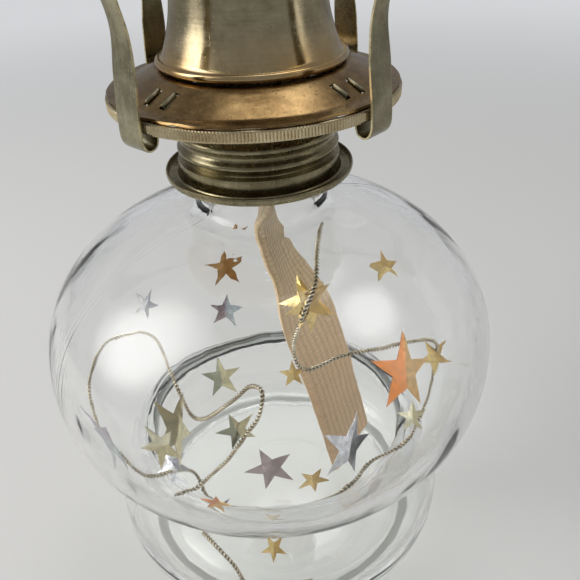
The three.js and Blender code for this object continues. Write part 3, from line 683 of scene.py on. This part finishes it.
def photo_camera():
    eye = Vector((0.156, -136.066, 164.647)) * MM
    pitch, yaw, roll = 0.5844, 0.0396, -0.0450
    forward = Vector((math.sin(yaw) * math.cos(pitch), math.cos(yaw) * math.cos(pitch),
                      -math.sin(pitch)))
    level = Vector((math.cos(yaw), -math.sin(yaw), 0))
    rise = level.cross(forward)
    right = math.cos(roll) * level + math.sin(roll) * rise
    up = -math.sin(roll) * level + math.cos(roll) * rise
    data = bpy.data.cameras.new("photo camera")
    data.sensor_width = 36
    data.lens = 36 * PHOTO_FOCUS / PHOTO_SIDE
    data.clip_start = 0.01
    data.clip_end = 50
    camera = linked("photo camera", data)
    camera.matrix_world = shift(*eye) @ Matrix((right, up, -forward)).transposed().to_4x4()
    bpy.context.scene.camera = camera


photo_camera()


# Glass font: globe, crease, hollow foot and neck in one piece
def font():
    bore = NECK - NECK_WALL
    outer = [
        *arc((0, 0.6), (FOOT_RING[0] - 1.5, PUSH_UP - 0.6), 90, 12, 14),
        (FOOT_RING[0] - 0.4, 0.5), (FOOT_RING[0] + 0.3, 0.08), (FOOT_RING[0] + 1.2, 0),
        *arc((FOOT_RING[1], FOOT[1]), (FOOT[0] - FOOT_RING[1], FOOT[1]), -90, 0, 12),
        *arc((WAIST[0], FOOT[1]), (FOOT[0] - WAIST[0], WAIST[1] - FOOT[1]), 8, 80, 14),
        (WAIST[0] + 0.75, WAIST[1] - 0.15), (WAIST[0] + 0.45, WAIST[1] + 0.25),
        *globe_path(GLOBE, GLOBE_HALF_HEIGHT, NECK + NECK_FILLET, WAIST[0] + 0.8, 60)[::-1],
        *arc((NECK + NECK_FILLET, SHOULDER + NECK_FILLET), (NECK_FILLET, NECK_FILLET), 250, 180, 7),
        (NECK + 0.1, SHOULDER + 6), (NECK, NECK_TOP - 3),
        *arc((NECK - 1.2, NECK_TOP - 1.2), (1.2, 1.2), 0, 90, 5),
    ]
    inner = [
        *arc((bore + 1.2, NECK_TOP - 1.2), (1.2, 1.2), 90, 180, 5),
        (bore, SHOULDER + 5), (bore + 0.1, SHOULDER + 1.0), (bore + 0.6, SHOULDER - 1.2),
        *globe_path(INNER_GLOBE, INNER_HALF, bore + 2.2, INNER_WAIST + 0.9, 56),
        (INNER_WAIST + 0.3, WAIST[1] - 1.2),
        *arc((INNER_WAIST, FOOT[1]), (FOOT_BULGE, LEDGE - FOOT[1]), 84, 0, 14),
        *arc((FOOT_RING[0], FOOT[1]), (FOOT[0] - FOOT_WALL - FOOT_RING[0], FOOT[1] - BASE_WALL),
             -10, -90, 10),
        *arc((0, BASE_WALL), (FOOT_RING[0] - 1.5, PUSH_UP), 10, 90, 14),
    ]
    bm = turned(outer + inner, 192)
    finished(bm, "blown_font", clear_glass(), "lamp", "glass_font", "glass", sharp=0)


# Collar with its turned-up lip, plain band and rolled thread
def collar():
    path = [
        (LIP - SHEET, LIP_FLOOR + LIP_TURN_UP), (LIP - SHEET, LIP_FLOOR + 0.95),
        *arc((LIP - SHEET - 0.7, LIP_FLOOR + 0.7), (0.7, 0.7), 0, -90, 6),
        *arc((SKIRT + 0.7, LIP_FLOOR + 0.7), (0.7, 0.7), -90, -180, 6),
        (SKIRT, LIP_FLOOR + 1.8), (SKIRT + 0.04, THREAD_FOOT - 1.2),
        (SKIRT - 0.1, THREAD_FOOT - 0.55),
        *thread_path(THREAD_FOOT - 0.1, THREAD_TOP, 0, 40),
    ]
    bm = turned(sheet_profile(path, SHEET))
    finished(bm, "rolled_collar", collar_finish(), "lamp", "collar", "collar_brass")


# Burner cup with its thread, plain band and floor
def cup():
    inset = SHEET + THREAD_CLEARANCE
    foot = THREAD_FOOT + 0.9
    outside = [
        *thread_path(foot, THREAD_TOP - 0.3, inset, 30),
        (BAND - 0.9, BAND_FOOT - 0.22), (BAND - 0.25, BAND_FOOT - 0.05), (BAND, BAND_FOOT + 0.3),
        (BAND, BAND_TOP),
    ]
    bm = turned(sheet_profile(outside, SHEET))
    floor = drum(thread(CUP_FLOOR) - inset - SHEET + 0.25, SHEET, 144)
    bm = merged(bm, moved(floor, shift(0, 0, CUP_FLOOR)))
    wick_hole = flat_tube(TUBE_SIZE[0] + 2 * GAP, TUBE_SIZE[1] + 2 * GAP, 8, CUP_FLOOR - 4)
    bm = cut_away(bm, wick_hole, on_shaft(drum(SHAFT_BORE, 12), BAND))
    finished(bm, "burner_cup", BURNER_FINISH, "burner", "burner_base", "burner_brass")


# Air basket with its row of holes
def basket():
    top = GALLERY_TOP - SHEET - GAP
    path = smooth_path([(BAND, BAND_TOP + GAP), (BAND + 0.9, BAND_TOP + 1.6),
                        (BAND + 2.3, top - 2.2), (BAND + 3.0, top - 1.0)], 14)
    holes = [moved(drum(AIR_HOLE, 8, 24), turn("Y", math.pi / 2),
                   shift(BAND + 1.5, 0, BAND_TOP + 2.6),
                   turn("Z", 2 * math.pi * (i + 0.5) / AIR_HOLES)) for i in range(AIR_HOLES)]
    bm = cut_away(turned(sheet_profile(path, SHEET)), *holes)
    finished(bm, "air_basket_pierced", BURNER_FINISH, "burner", "air_basket", "burner_brass")


# Gallery: the cone, the chimney seat and the crimped edge, pierced for the spring tabs
GALLERY_PATH = [
    (DOME_FOOT - 1.6, GALLERY_TOP), (DOME_FOOT + 0.9, GALLERY_TOP - 0.25),
    (DOME_FOOT + 3.4, SEAT + 2.23), (DOME_FOOT + 6.2, SEAT + 0.864), (27.5, SEAT + 0.08),
    (28.0, SEAT), (29.6, SEAT), (GALLERY - 0.1, SEAT - 0.2),
]
TAB_PLACE = 24.4
TAB_SLOPE = math.atan2(1.83, 4)
TAB_HEIGHT = 129.87
TAB_SPREAD = 4.6            # between the two tabs of one spring
CRIMP_START = 29.0
CRIMP_WIDTH = 1.5


def tab_block(side, length, width, rise, sink, soften=0.0):
    bm = block(length, width, rise + sink, soften)
    return moved(bm, shift(0, 0, (rise - sink) / 2), turn("Y", TAB_SLOPE),
                 shift(TAB_PLACE, side * TAB_SPREAD / 2, TAB_HEIGHT))


def gallery():
    rim = [(27.4, SEAT + 0.10), (28.0, SEAT), (28.8, SEAT), (29.6, SEAT), (30.2, SEAT - 0.02),
           (GALLERY - 0.1, SEAT - 0.2)]
    cone = smooth_path([(r, z) for r, z in GALLERY_PATH[:5]], 22)[:-1]
    bm = turned(sheet_profile((cone + rim)[::-1], SHEET), 240)
    for vert in bm.verts:
        r = math.hypot(vert.co.x, vert.co.y)
        if r > CRIMP_START:
            a = math.atan2(vert.co.y, vert.co.x)
            wave = 0.5 * math.sin(27 * a + 1.3 * math.sin(3 * a)) + 0.5 * math.sin(11 * a + 0.7)
            share = min(1.0, (r - CRIMP_START) / CRIMP_WIDTH)
            vert.co.z += 0.11 * share * (wave - 1)
            vert.co.xy *= 1 - 0.011 * share * (0.5 + 0.5 * wave)
    slits = [moved(tab_block(side, 4.5, 1.5, 2, 2), turn("Z", a))
             for a in SPRING_AZIMUTHS for side in (-1, 1)]
    bm = cut_away(bm, *slits)
    finished(bm, "gallery_crimped", GALLERY_FINISH, "burner", "gallery_plate", "gallery_brass")


# Knurled ring below the gallery's edge
def ring():
    outer, inner, top = GALLERY, GALLERY - 1.0, RING_TOP + 0.18
    profile = [
        (inner, RING_FOOT + 0.12), (inner + 0.12, RING_FOOT), (outer - 0.45, RING_FOOT),
        (outer - 0.2, RING_FOOT + 0.12), (outer, RING_FOOT + 0.4), (outer, top - 0.4),
        (outer - 0.2, top - 0.12), (outer - 0.45, top), (inner + 0.12, top), (inner, top - 0.12),
    ]
    bm = knurled(turned(profile, 2 * KNURLS), 2 * KNURLS, 2, outer - 0.1, 0.22)
    finished(bm, "knurled_edge", RING_FINISH, "burner", "knurled_ring", "burner_brass", sharp=12)


# Dome with the rolled bead at its foot and the flame slot on top
def dome():
    crown = DOME_BOTTOM + DOME_HEIGHT * (1 - DOME_CROWN)
    wall = smooth_path([
        (DOME_FOOT - BEAD - BEAD_GROOVE, DOME_BOTTOM + 2 * BEAD + 0.25),
        (DOME_WALL + 2.3, DOME_BOTTOM + 3.44), (DOME_WALL + 0.8, DOME_BOTTOM + 8.2),
        (DOME_WALL, DOME_BOTTOM + 13.52), (DOME_WALL - 0.2, crown)], 44)
    path = [
        *arc((DOME_FOOT - BEAD + 0.2, DOME_BOTTOM + BEAD), (BEAD, BEAD), -90, 112, 12),
        *wall[:-1],
        *arc((0, crown), (DOME_WALL - 0.2, DOME_HEIGHT * DOME_CROWN), 0, 90, 22),
    ]
    slot_hole = flat_tube(*FLAME_SLOT, DOME_HEIGHT, DOME_BOTTOM + DOME_HEIGHT * 0.75)
    bm = cut_away(turned(sheet_profile(path, SHEET), 192), slot_hole)
    finished(bm, "spun_dome", DOME_FINISH, "burner", "burner_dome", "dome_brass")


# Wick tube, open above and below and slotted for the wheels
def wick_tube():
    length = TUBE_TOP - TUBE_FOOT
    body = flat_tube(*TUBE_SIZE, length, TUBE_FOOT)
    bore = flat_tube(*TUBE_BORE, length + 2, TUBE_FOOT - 1)
    slots = [on_shaft(drum(WHEEL[0] + GAP, WHEEL[1] + 2 * GAP, 64), side * WHEEL_SPREAD)
             for side in (-1, 1)]
    bm = cut_away(body, bore, *slots)
    finished(bm, "folded_wick_tube", BURNER_FINISH, "burner", "wick_tube", "burner_brass")


# Wick raiser's shaft and milled knob, and the bearing on the tube
def raiser():
    start = -BEARING_AT - BEARING[0] / 2 - 1
    length = KNOB_REACH + KNOB_THICKNESS - KNOB_CAP - GAP - start
    bm = on_shaft(drum(SHAFT_RADIUS, length, 32, 0.2), start + length / 2)
    finished(bm, "turned_shaft", BURNER_FINISH, "raiser", "raiser_shaft", "burner_brass")

    knob_profile = [
        (0, 2.8), (1.3, 2.8), (2.1, 2.75), (2.5, 2.45), (2.6, 2.25), (3.1, 2.2), (4.4, 2.2),
        (5.4, 2.3), (5.9, 2.65), (6.4, 2.8), (6.9, 2.75), (7.3, 2.5), (7.5, 2.2), (7.5, 0.6),
        (7.3, 0.3), (6.9, 0.05), (6.4, 0), (5.9, 0.15), (5.6, 0.6), (2.6, 0.6), (2.4, 0.1),
        (2.1, 0), (1.4, 0), (1.4, 2.0), (0, 2.0),
    ]
    bm = knurled(turned(knob_profile, 160), 160, 4, 7.2, 0.35)
    finished(on_shaft(bm, KNOB_REACH), "milled_knob", BURNER_FINISH, "raiser", "raiser_knob",
             "burner_brass", sharp=40)


def bearing():
    reach = SHAFT_OFFSET - TUBE_SIZE[1] / 2 - GAP
    width = reach + 2.4
    plate = moved(block(width, *BEARING, 0.2), shift(reach - width / 2, -BEARING_AT, 0),
                  turn("Z", -math.pi / 2), shift(0, -SHAFT_OFFSET, SHAFT), turn("Z", WICK_AZIMUTH))
    bm = cut_away(plate, on_shaft(drum(SHAFT_BORE, 4, 32), -BEARING_AT))
    finished(bm, "bearing_plate", BURNER_FINISH, "burner", "raiser_bearing", "burner_brass")


# Chimney springs: foot under the gallery, curl round its edge, neck and leaf
SPRING_WIDTHS = [(0, 6.3), (0.45, 6.3), (0.68, 4.2), (0.88, 9.5), (1, 4.0)]
SPRING_LEG = GALLERY + 1.5
SPRING_STEPS = 110


def spring_width(u):
    i = next(k for k in range(1, len(SPRING_WIDTHS)) if SPRING_WIDTHS[k][0] >= u - 1e-9)
    (u0, w0), (u1, w1) = SPRING_WIDTHS[i - 1], SPRING_WIDTHS[i]
    width = w0 + (w1 - w0) * eased(u, u0, u1)
    return width * (1 - 0.55 * max(0, (u - 0.975) / 0.025) ** 2)


def under_gallery(r):
    """Height of the spring's middle line below the gallery at a radius."""
    for (r0, z0), (r1, z1) in zip(GALLERY_PATH, GALLERY_PATH[1:]):
        if r <= r1:
            return z0 + (z1 - z0) * (r - r0) / (r1 - r0) - SHEET - 2 * GAP - SHEET / 2
    return SEAT


def spring(number, azimuth):
    leaf = through([
        (TAB_PLACE - 2.4, under_gallery(TAB_PLACE - 2.4)), (TAB_PLACE, under_gallery(TAB_PLACE)),
        (TAB_PLACE + 2.6, under_gallery(TAB_PLACE + 2.6) - 0.15), (GALLERY - 2.3, RING_FOOT + 0.4),
        (GALLERY - 1.4, RING_FOOT - 2.2), (GALLERY + 0.3, RING_FOOT - 2.7),
        (SPRING_LEG - 0.1, RING_FOOT - 1.4), (SPRING_LEG, RING_FOOT + 2.6),
        (SPRING_LEG - 0.7, RING_FOOT + 10.0), (SPRING_LEG - 1.2, RING_FOOT + 17.5),
        (SPRING_LEG - 0.2, RING_FOOT + 23.0), (SPRING_LEG + 2.0, RING_FOOT + 30.0),
        (SPRING_LEG + 3.4, SEAT + 35.5)], SPRING_STEPS)
    across = 13                 # steps over the leaf's width, and one more over its edge
    ring_steps = 2 * (across + 1)

    def place(u, v):
        k = min(int(round(u * SPRING_STEPS)), SPRING_STEPS)
        p = leaf[k]
        t = (leaf[min(k + 1, SPRING_STEPS)] - leaf[max(k - 1, 0)]).normalized()
        out = Vector((-t.y, t.x, 0))
        width = spring_width(u) / 2
        half, spot = divmod((v * ring_steps) % ring_steps, across + 1)
        w, side = (1 - 2 * spot / across, 1) if spot < across else (-1, 1 - 2 * (spot - across))
        if half:
            w, side = -w, -side
        crown = 0.10 * (1 - w * w) * min(1, max(0, (u - 0.3) / 0.2))
        soft = 1 - 0.3 * max(0, abs(w) - 0.9) / 0.1
        depth = side * SHEET / 2 * soft - crown
        flat = p + out * depth
        return Vector((flat.x, w * width, flat.y))

    bm = skin(SPRING_STEPS, ring_steps, place)
    tabs = [tab_block(side, 3.7, 0.6, 0.6, SHEET + 2 * GAP + SHEET / 2, 0.14) for side in (-1, 1)]
    bm = moved(merged(bm, *tabs), turn("Z", azimuth))
    finished(bm, f"leaf_spring_{number}", SPRING_FINISH, f"spring_{number}",
             f"chimney_spring_{number}", "spring_brass", sharp=50)


# Wick: straight in its tube, then leaning aside and turning as it hangs in the globe
WICK_LINE = [               # distance from the lamp's axis, and height
    (0, WICK_TOP), (0, 125), (0, 108), (0.2, 100), (0.5, 95), (1.5, 90), (5.4, 79), (12.4, 60),
    (18.5, 36), (22.5, 20),
]
WICK_LEAN = math.radians(-12)
WICK_TURNS = [(math.radians(19), 0.37, 0.43), (math.radians(26), 0.51, 0.66)]
WICK_STEPS = 220
WICK_RIBS = 20
WICK_THREADS = 118


def wick():
    line = through([(o * math.cos(WICK_LEAN), o * math.sin(WICK_LEAN), z) for o, z in WICK_LINE],
                   WICK_STEPS)
    around = 72
    half, thick = WICK[0] / 2, 0.46 * WICK[1]

    def place(u, v):
        k = min(int(round(u * WICK_STEPS)), WICK_STEPS)
        along = (line[min(k + 1, WICK_STEPS)] - line[max(k - 1, 0)]).normalized()
        twist = WICK_AZIMUTH - sum(angle * eased(u, *span) for angle, *span in WICK_TURNS)
        width = Vector((math.cos(twist), math.sin(twist), 0))
        width = (width - along * width.dot(along)).normalized()
        across = along.cross(width).normalized()
        side = 1 if v % 1.0 < 0.5 else -1
        x = side * (1 - 4 * (v % 0.5)) if v < 1 else 1
        y = side * thick * math.sqrt(max(0, 1 - abs(x) ** 10))
        hang = max(0, min(1, (0.95 - u) / 0.25)) * max(0, min(1, (u - 0.45) / 0.2))
        sag = 0.30 * hang * math.sin(9 * u + 2 * x)
        return line[k] + width * (half * x) + across * (y + sag)

    bm = skin(WICK_STEPS, around, place)
    tape = finished(bm, "woven_wick", woven_cotton(), "wick", "wick", "wick_cotton", sharp=60)
    length = sum((b - a).length for a, b in zip(line, line[1:]))


# Garland wire: two thin strands twisted together, through these places inside the font
WIRE_PLACES = [
    (-29, 0.93, 0.627), (-58, 0.90, 0.699), (-69, 0.86, 0.768), (-77, 0.80, 0.729),
    (-80, 0.63, 0.521), (-75, 0.54, 0.500), (-53, 0.53, 0.495), (-32, 0.50, 0.582),
    (-6, 0.37, 0.840), (-4, 0.20, 0.925), (-18, 0.14, 0.936), (-37, 0.09, 0.928),
    (-46, 0.04, 0.919), (-54, -0.03, 0.948), (-79, -0.06, 0.867), (-97, -0.12, 0.808),
    (-113, -0.14, 0.797), (-128, -0.06, 0.857), (-135, 0.03, 0.916), (-137, 0.19, 0.952),
    (-151, 0.26, 0.960), (-171, 0.32, 0.940), (172, 0.36, 0.866), (165, 0.36, 0.672),
    (-171, 0.30, 0.528), (-141, 0.24, 0.536), (-114, 0.40, 0.493), (-102, 0.49, 0.499),
    (-96, 0.51, 0.551), (-97, 0.44, 0.593), (-103, 0.36, 0.628), (-111, 0.25, 0.703),
    (-122, 0.13, 0.879), (-125, 0.15, 0.943),
]
FOOT_WIRE_PLACES = [
    (-124, -0.16, 0.863), (-115, -0.15, 0.926), (-108, -0.19, 0.949), (-104, -0.27, 0.956),
    (-101, -0.35, 0.921), (-94, -0.37, 0.870), (-80, -0.375, 0.856),
]
STRAND = 0.28               # radius
TWIST = 1.9                 # length of one turn


def twisted_wire(name, places, node, material):
    length = sum((in_font(*b) - in_font(*a)).length for a, b in zip(places, places[1:]))
    steps = int(length / TWIST * 9)
    line = through([in_font(*p) for p in places], steps)
    side = Vector((0, 0, 1))
    frames = []
    for k, p in enumerate(line):
        along = (line[min(k + 1, steps)] - line[max(k - 1, 0)]).normalized()
        side = (side - along * side.dot(along)).normalized()
        frames.append((p, side.copy(), along.cross(side)))

    def strand(phase):
        def place(u, v):
            k = min(int(round(u * steps)), steps)
            p, first, second = frames[k]
            turned_by = phase + 2 * math.pi * k * length / steps / TWIST
            a = turned_by + 2 * math.pi * v
            middle = p + (first * math.cos(turned_by) + second * math.sin(turned_by)) * STRAND
            return middle + (first * math.cos(a) + second * math.sin(a)) * (STRAND * 1.08)
        return skin(steps, 6, place)

    bm = merged(strand(0), strand(math.pi))
    finished(bm, name, material, "lamp", node, "garland_metal", sharp=0)


# Foil stars: foil, then for each star its size, middle, azimuth and elevation that the face looks
# towards, spin, and how far it is folded
STARS = {
    "star_mid_small": ("gold", [(6.5, (4.24, -25.9, 68.79), -97, 34, 0, 0.4)]),
    "star_right_large": ("orange", [(20, (31.99, -18.51, 60.52), -50, 32, 14, 1.7)]),
    "star_right_gold": ("gold", [(11, (44.21, -3.87, 52.14), -85, 30, 36, 0.6)]),
    "star_right_cream": ("cream", [(9, (35.34, -17.96, 43.92), -88, 32, 0, 0.6)]),
    "star_front_large": ("silver", [(19, (18.37, -23.43, 40.26), -49, 17, 8, 1.6)]),
    "star_left_tall": ("olive", [(21, (-24.6, -22.08, 50.08), -14, 14, 8, 1.8)]),
    "star_left_olive": ("olive", [(10, (-12.17, -22.91, 66.72), -105, 30, 0, 0.9)]),
    "star_middle_olive": ("olive", [(10, (-9.13, -29.88, 56.63), -75, 17, 30, 0.8)]),
    "star_low_white": ("silver", [(9, (-17.08, -28.76, 25.83), -110, 45, 20, 0.5)]),
    "star_end_white": ("silver", [(9, (-26.84, -25.92, 40.92), -111, 52, 30, 0.5)]),
    "star_neck_gold": ("gold", [(12, (7.69, -26.68, 88.81), -104, 46, 12, 1.3),
                                (12, (8.65, -26.92, 87.85), -66, 34, 44, 1.3)]),
    "star_wall_mauve": ("mauve", [(10, (-1.77, -50.59, 67.64), 88, -9, 12, 0.4)]),
    "star_wall_small_gold": ("gold", [(6.5, (6.24, -50.8, 63.74), 97, -1.7, 0, 0.2)]),
    "star_wall_orange": ("orange", [(6.5, (-13.15, -49.08, 57.2), 75, 9.1, 30, 0.2)]),
    "star_wall_lilac": ("lilac", [(18, (-37.22, -33.51, 61.14), 42, 1.9, 20, 0.8)]),
    "star_wall_yellow": ("cream", [(10, (-22.77, -44.68, 69.56), 63, -13, 40, 0.5)]),
    "star_foot_gold": ("gold", [(6.5, (-2.71, -38.76, 24.76), 86, -33.9, 0, 0.2)]),
    "star_back_pale": ("lilac", [(12, (-14.53, 39.92, 41.7), -70, 44.8, 0, 0.3)]),
    "star_back_bronze": ("bronze", [(15, (-13.64, 47.56, 54.72), -74, 14.6, 15, 0.3)]),
    "star_back_white": ("silver", [(10, (-38.38, 31.08, 52.71), -39, 18.9, 0, 0.3)]),
    "star_back_gold": ("gold", [(12, (37.0, 34.5, 58.53), -137, 6.5, 50, 0.3)]),
}
STAR_WAIST = 0.38           # inner radius as a share of the outer
STAR_FOIL = 0.16            # thickness
# Each foil's two colours are the painted light and painted shade on the two sides of a star's fold
FOILS = {
    "gold": foil_finish("gold foil", (0.86, 0.64, 0.26), (0.58, 0.38, 0.12), 0.20),
    "orange": foil_finish("orange foil", (0.80, 0.27, 0.06), (0.84, 0.52, 0.19), 0.36),
    "cream": foil_finish("cream foil", (0.84, 0.80, 0.58), (0.60, 0.53, 0.31), 0.22),
    "silver": foil_finish("silver foil", (0.80, 0.81, 0.84), (0.46, 0.47, 0.51), 0.20),
    "olive": foil_finish("olive foil", (0.36, 0.38, 0.27), (0.70, 0.63, 0.38), 0.22),
    "lilac": foil_finish("lilac foil", (0.48, 0.40, 0.52), (0.50, 0.56, 0.58), 0.26),
    "mauve": foil_finish("mauve foil", (0.54, 0.45, 0.44), (0.42, 0.34, 0.32), 0.24),
    "bronze": foil_finish("bronze foil", (0.52, 0.35, 0.17), (0.38, 0.24, 0.11), 0.24),
}


def star_mesh(size, middle, azimuth, elevation, spin, fold):
    """A five-pointed star of thin foil, folded a little down its middle."""
    bm = bmesh.new()
    bmesh.ops.create_circle(bm, cap_ends=True, cap_tris=True, segments=10, radius=size / 2)
    rim = sorted((v for v in bm.verts if v.co.length > 0.1),
                 key=lambda v: math.atan2(v.co.y, v.co.x))
    for i, vert in enumerate(rim):
        reach = size / 2 * (STAR_WAIST if i % 2 else 1.0)
        a = math.pi * (0.5 + i / 5)
        vert.co = (reach * math.cos(a), reach * math.sin(a), 0)
    bmesh.ops.subdivide_edges(bm, edges=bm.edges[:], cuts=3, use_grid_fill=True)
    bmesh.ops.triangulate(bm, faces=[f for f in bm.faces if len(f.verts) > 4])
    for vert in bm.verts:
        r = vert.co.length / (size / 2)
        crease = 0.10 * noise.noise(Vector((vert.co.x * 0.5, vert.co.y * 0.5, size + azimuth)))
        vert.co.z = 0.16 * (1 - r) - fold * abs(vert.co.x) / (size / 2) + crease
    bmesh.ops.solidify(bm, geom=bm.faces[:], thickness=STAR_FOIL)
    bmesh.ops.recalc_face_normals(bm, faces=bm.faces)
    paper = bm.loops.layers.uv.new("UVMap")
    for face in bm.faces:
        for loop in face.loops:
            loop[paper].uv = (loop.vert.co.x / size + 0.5, loop.vert.co.y / size + 0.5)
    a, rise = math.radians(azimuth), math.radians(elevation)
    look = Vector((math.cos(rise) * math.cos(a), math.cos(rise) * math.sin(a), math.sin(rise)))
    face = Vector((0, 0, 1)).rotation_difference(look).to_matrix().to_4x4()
    return moved(bm, turn("Z", math.radians(spin)), face, shift(*middle))


def foil_star(node, foil, stars):
    bm = merged(*[star_mesh(*star) for star in stars])
    slot = {"cream": "gold", "bronze": "gold", "mauve": "lilac"}.get(foil, foil)
    finished(bm, node.replace("star", "foil"), FOILS[foil], "lamp", node, "foil_" + slot, sharp=9)


font()
collar()
cup()
basket()
gallery()
ring()
dome()
wick_tube()
raiser()
bearing()
for count, heading in enumerate(SPRING_AZIMUTHS, 1):
    spring(count, heading)
wick()
WIRE_FINISH = wire_finish()
twisted_wire("twisted_garland", WIRE_PLACES, "garland_wire", WIRE_FINISH)
twisted_wire("twisted_garland_foot", FOOT_WIRE_PLACES, "garland_wire_foot", WIRE_FINISH)
for star, (foil, stars) in STARS.items():
    foil_star(star, foil, stars)

# Pieces that keep their solids
for node, finish in {
    "collar_cement": plaster_finish(),
    "wick_wheel_front": BURNER_FINISH,
    "wick_wheel_rear": BURNER_FINISH,
    "shaft_sleeve": BURNER_FINISH,
}.items():
    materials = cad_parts[node].data.materials
    materials.clear()
    materials.append(finish)


# Studio: a plain pale floor that fades into the sky, and soft lamps
SKY = (0.93, 0.945, 0.97)
SKY_LIGHT = 0.33
SKY_SEEN = 0.70
HAZE = (180, 900)           # where the floor starts to fade into the sky, and is gone


def fade(data):
    """Dims a lamp's panel towards its edges, so that its reflections have no hard outline."""
    data.use_nodes = True
    tree = data.node_tree
    spot = tree.nodes.new("ShaderNodeNewGeometry")
    reach = tree.nodes.new("ShaderNodeVectorMath")
    reach.operation = "DISTANCE"
    reach.inputs[1].default_value = (0.5, 0.5, 0)
    glow = tree.nodes.new("ShaderNodeMapRange")
    glow.interpolation_type = "SMOOTHSTEP"
    for socket, value in {"From Min": 0.12, "From Max": 0.5, "To Min": 1.0, "To Max": 0.0}.items():
        glow.inputs[socket].default_value = value
    tree.links.new(spot.outputs["Parametric"], reach.inputs[0])
    tree.links.new(reach.outputs["Value"], glow.inputs["Value"])
    tree.links.new(glow.outputs["Result"], tree.nodes["Emission"].inputs["Strength"])


def studio():
    bm = bmesh.new()
    bmesh.ops.create_grid(bm, x_segments=1, y_segments=1, size=3)
    floor = linked("floor", as_mesh(bm, "floor"))
    paint = Finish("floor paint", Roughness=0.6, Specular_IOR_Level=0.1,
                   Base_Color=(0.78, 0.775, 0.76, 1))
    away = paint.node("ShaderNodeVectorMath", {"operation": "LENGTH"}, {0: paint.place()}, "Value")
    far = away.span(*HAZE)
    seen = paint.node("ShaderNodeLightPath", {}, {}, "Is Camera Ray")
    through_glass = Out(paint, seen.socket.node.outputs["Is Transmission Ray"])
    haze = paint.node("ShaderNodeEmission", {}, {"Color": SKY, "Strength": SKY_SEEN})
    faded = paint.blend(far * (seen + through_glass), paint.plain(), haze)
    floor.data.materials.append(paint.show(faded))

    def lamp(name, size, watts, spot, aim, colour=(1, 1, 1)):
        data = bpy.data.lights.new(name, "AREA")
        data.shape = "RECTANGLE"
        data.size, data.size_y = size
        data.energy = watts
        data.color = colour
        fade(data)
        light = linked(name, data)
        light.location = spot
        light.rotation_euler = (Vector(aim) - Vector(spot)).to_track_quat("-Z", "Y").to_euler()

    lamp("left softbox", (0.75, 1.0), 10.4, (-0.62, -0.10, 0.50), (0, 0, 0.09), (1.0, 0.99, 0.97))
    lamp("right strip", (0.34, 0.85), 0.8, (0.60, -0.25, 0.35), (0, 0, 0.10), (1.0, 0.95, 0.88))
    lamp("top softbox", (0.7, 0.7), 4.6, (0.1, 0.25, 0.85), (0, 0, 0.09))
    world = bpy.data.worlds.new("studio")
    bpy.context.scene.world = world
    world.use_nodes = True
    tree = world.node_tree
    sky = tree.nodes["Background"]
    sky.inputs["Color"].default_value = (*SKY, 1)
    rays = tree.nodes.new("ShaderNodeLightPath")
    seen = tree.nodes.new("ShaderNodeMath")
    seen.operation = "MAXIMUM"
    level = tree.nodes.new("ShaderNodeMapRange")
    level.inputs["To Min"].default_value = SKY_LIGHT
    level.inputs["To Max"].default_value = SKY_SEEN
    tree.links.new(rays.outputs["Is Camera Ray"], seen.inputs[0])
    tree.links.new(rays.outputs["Is Transmission Ray"], seen.inputs[1])
    tree.links.new(seen.outputs[0], level.inputs["Value"])
    tree.links.new(level.outputs["Result"], sky.inputs["Strength"])
    bpy.context.scene.view_settings.view_transform = "Standard"


studio()
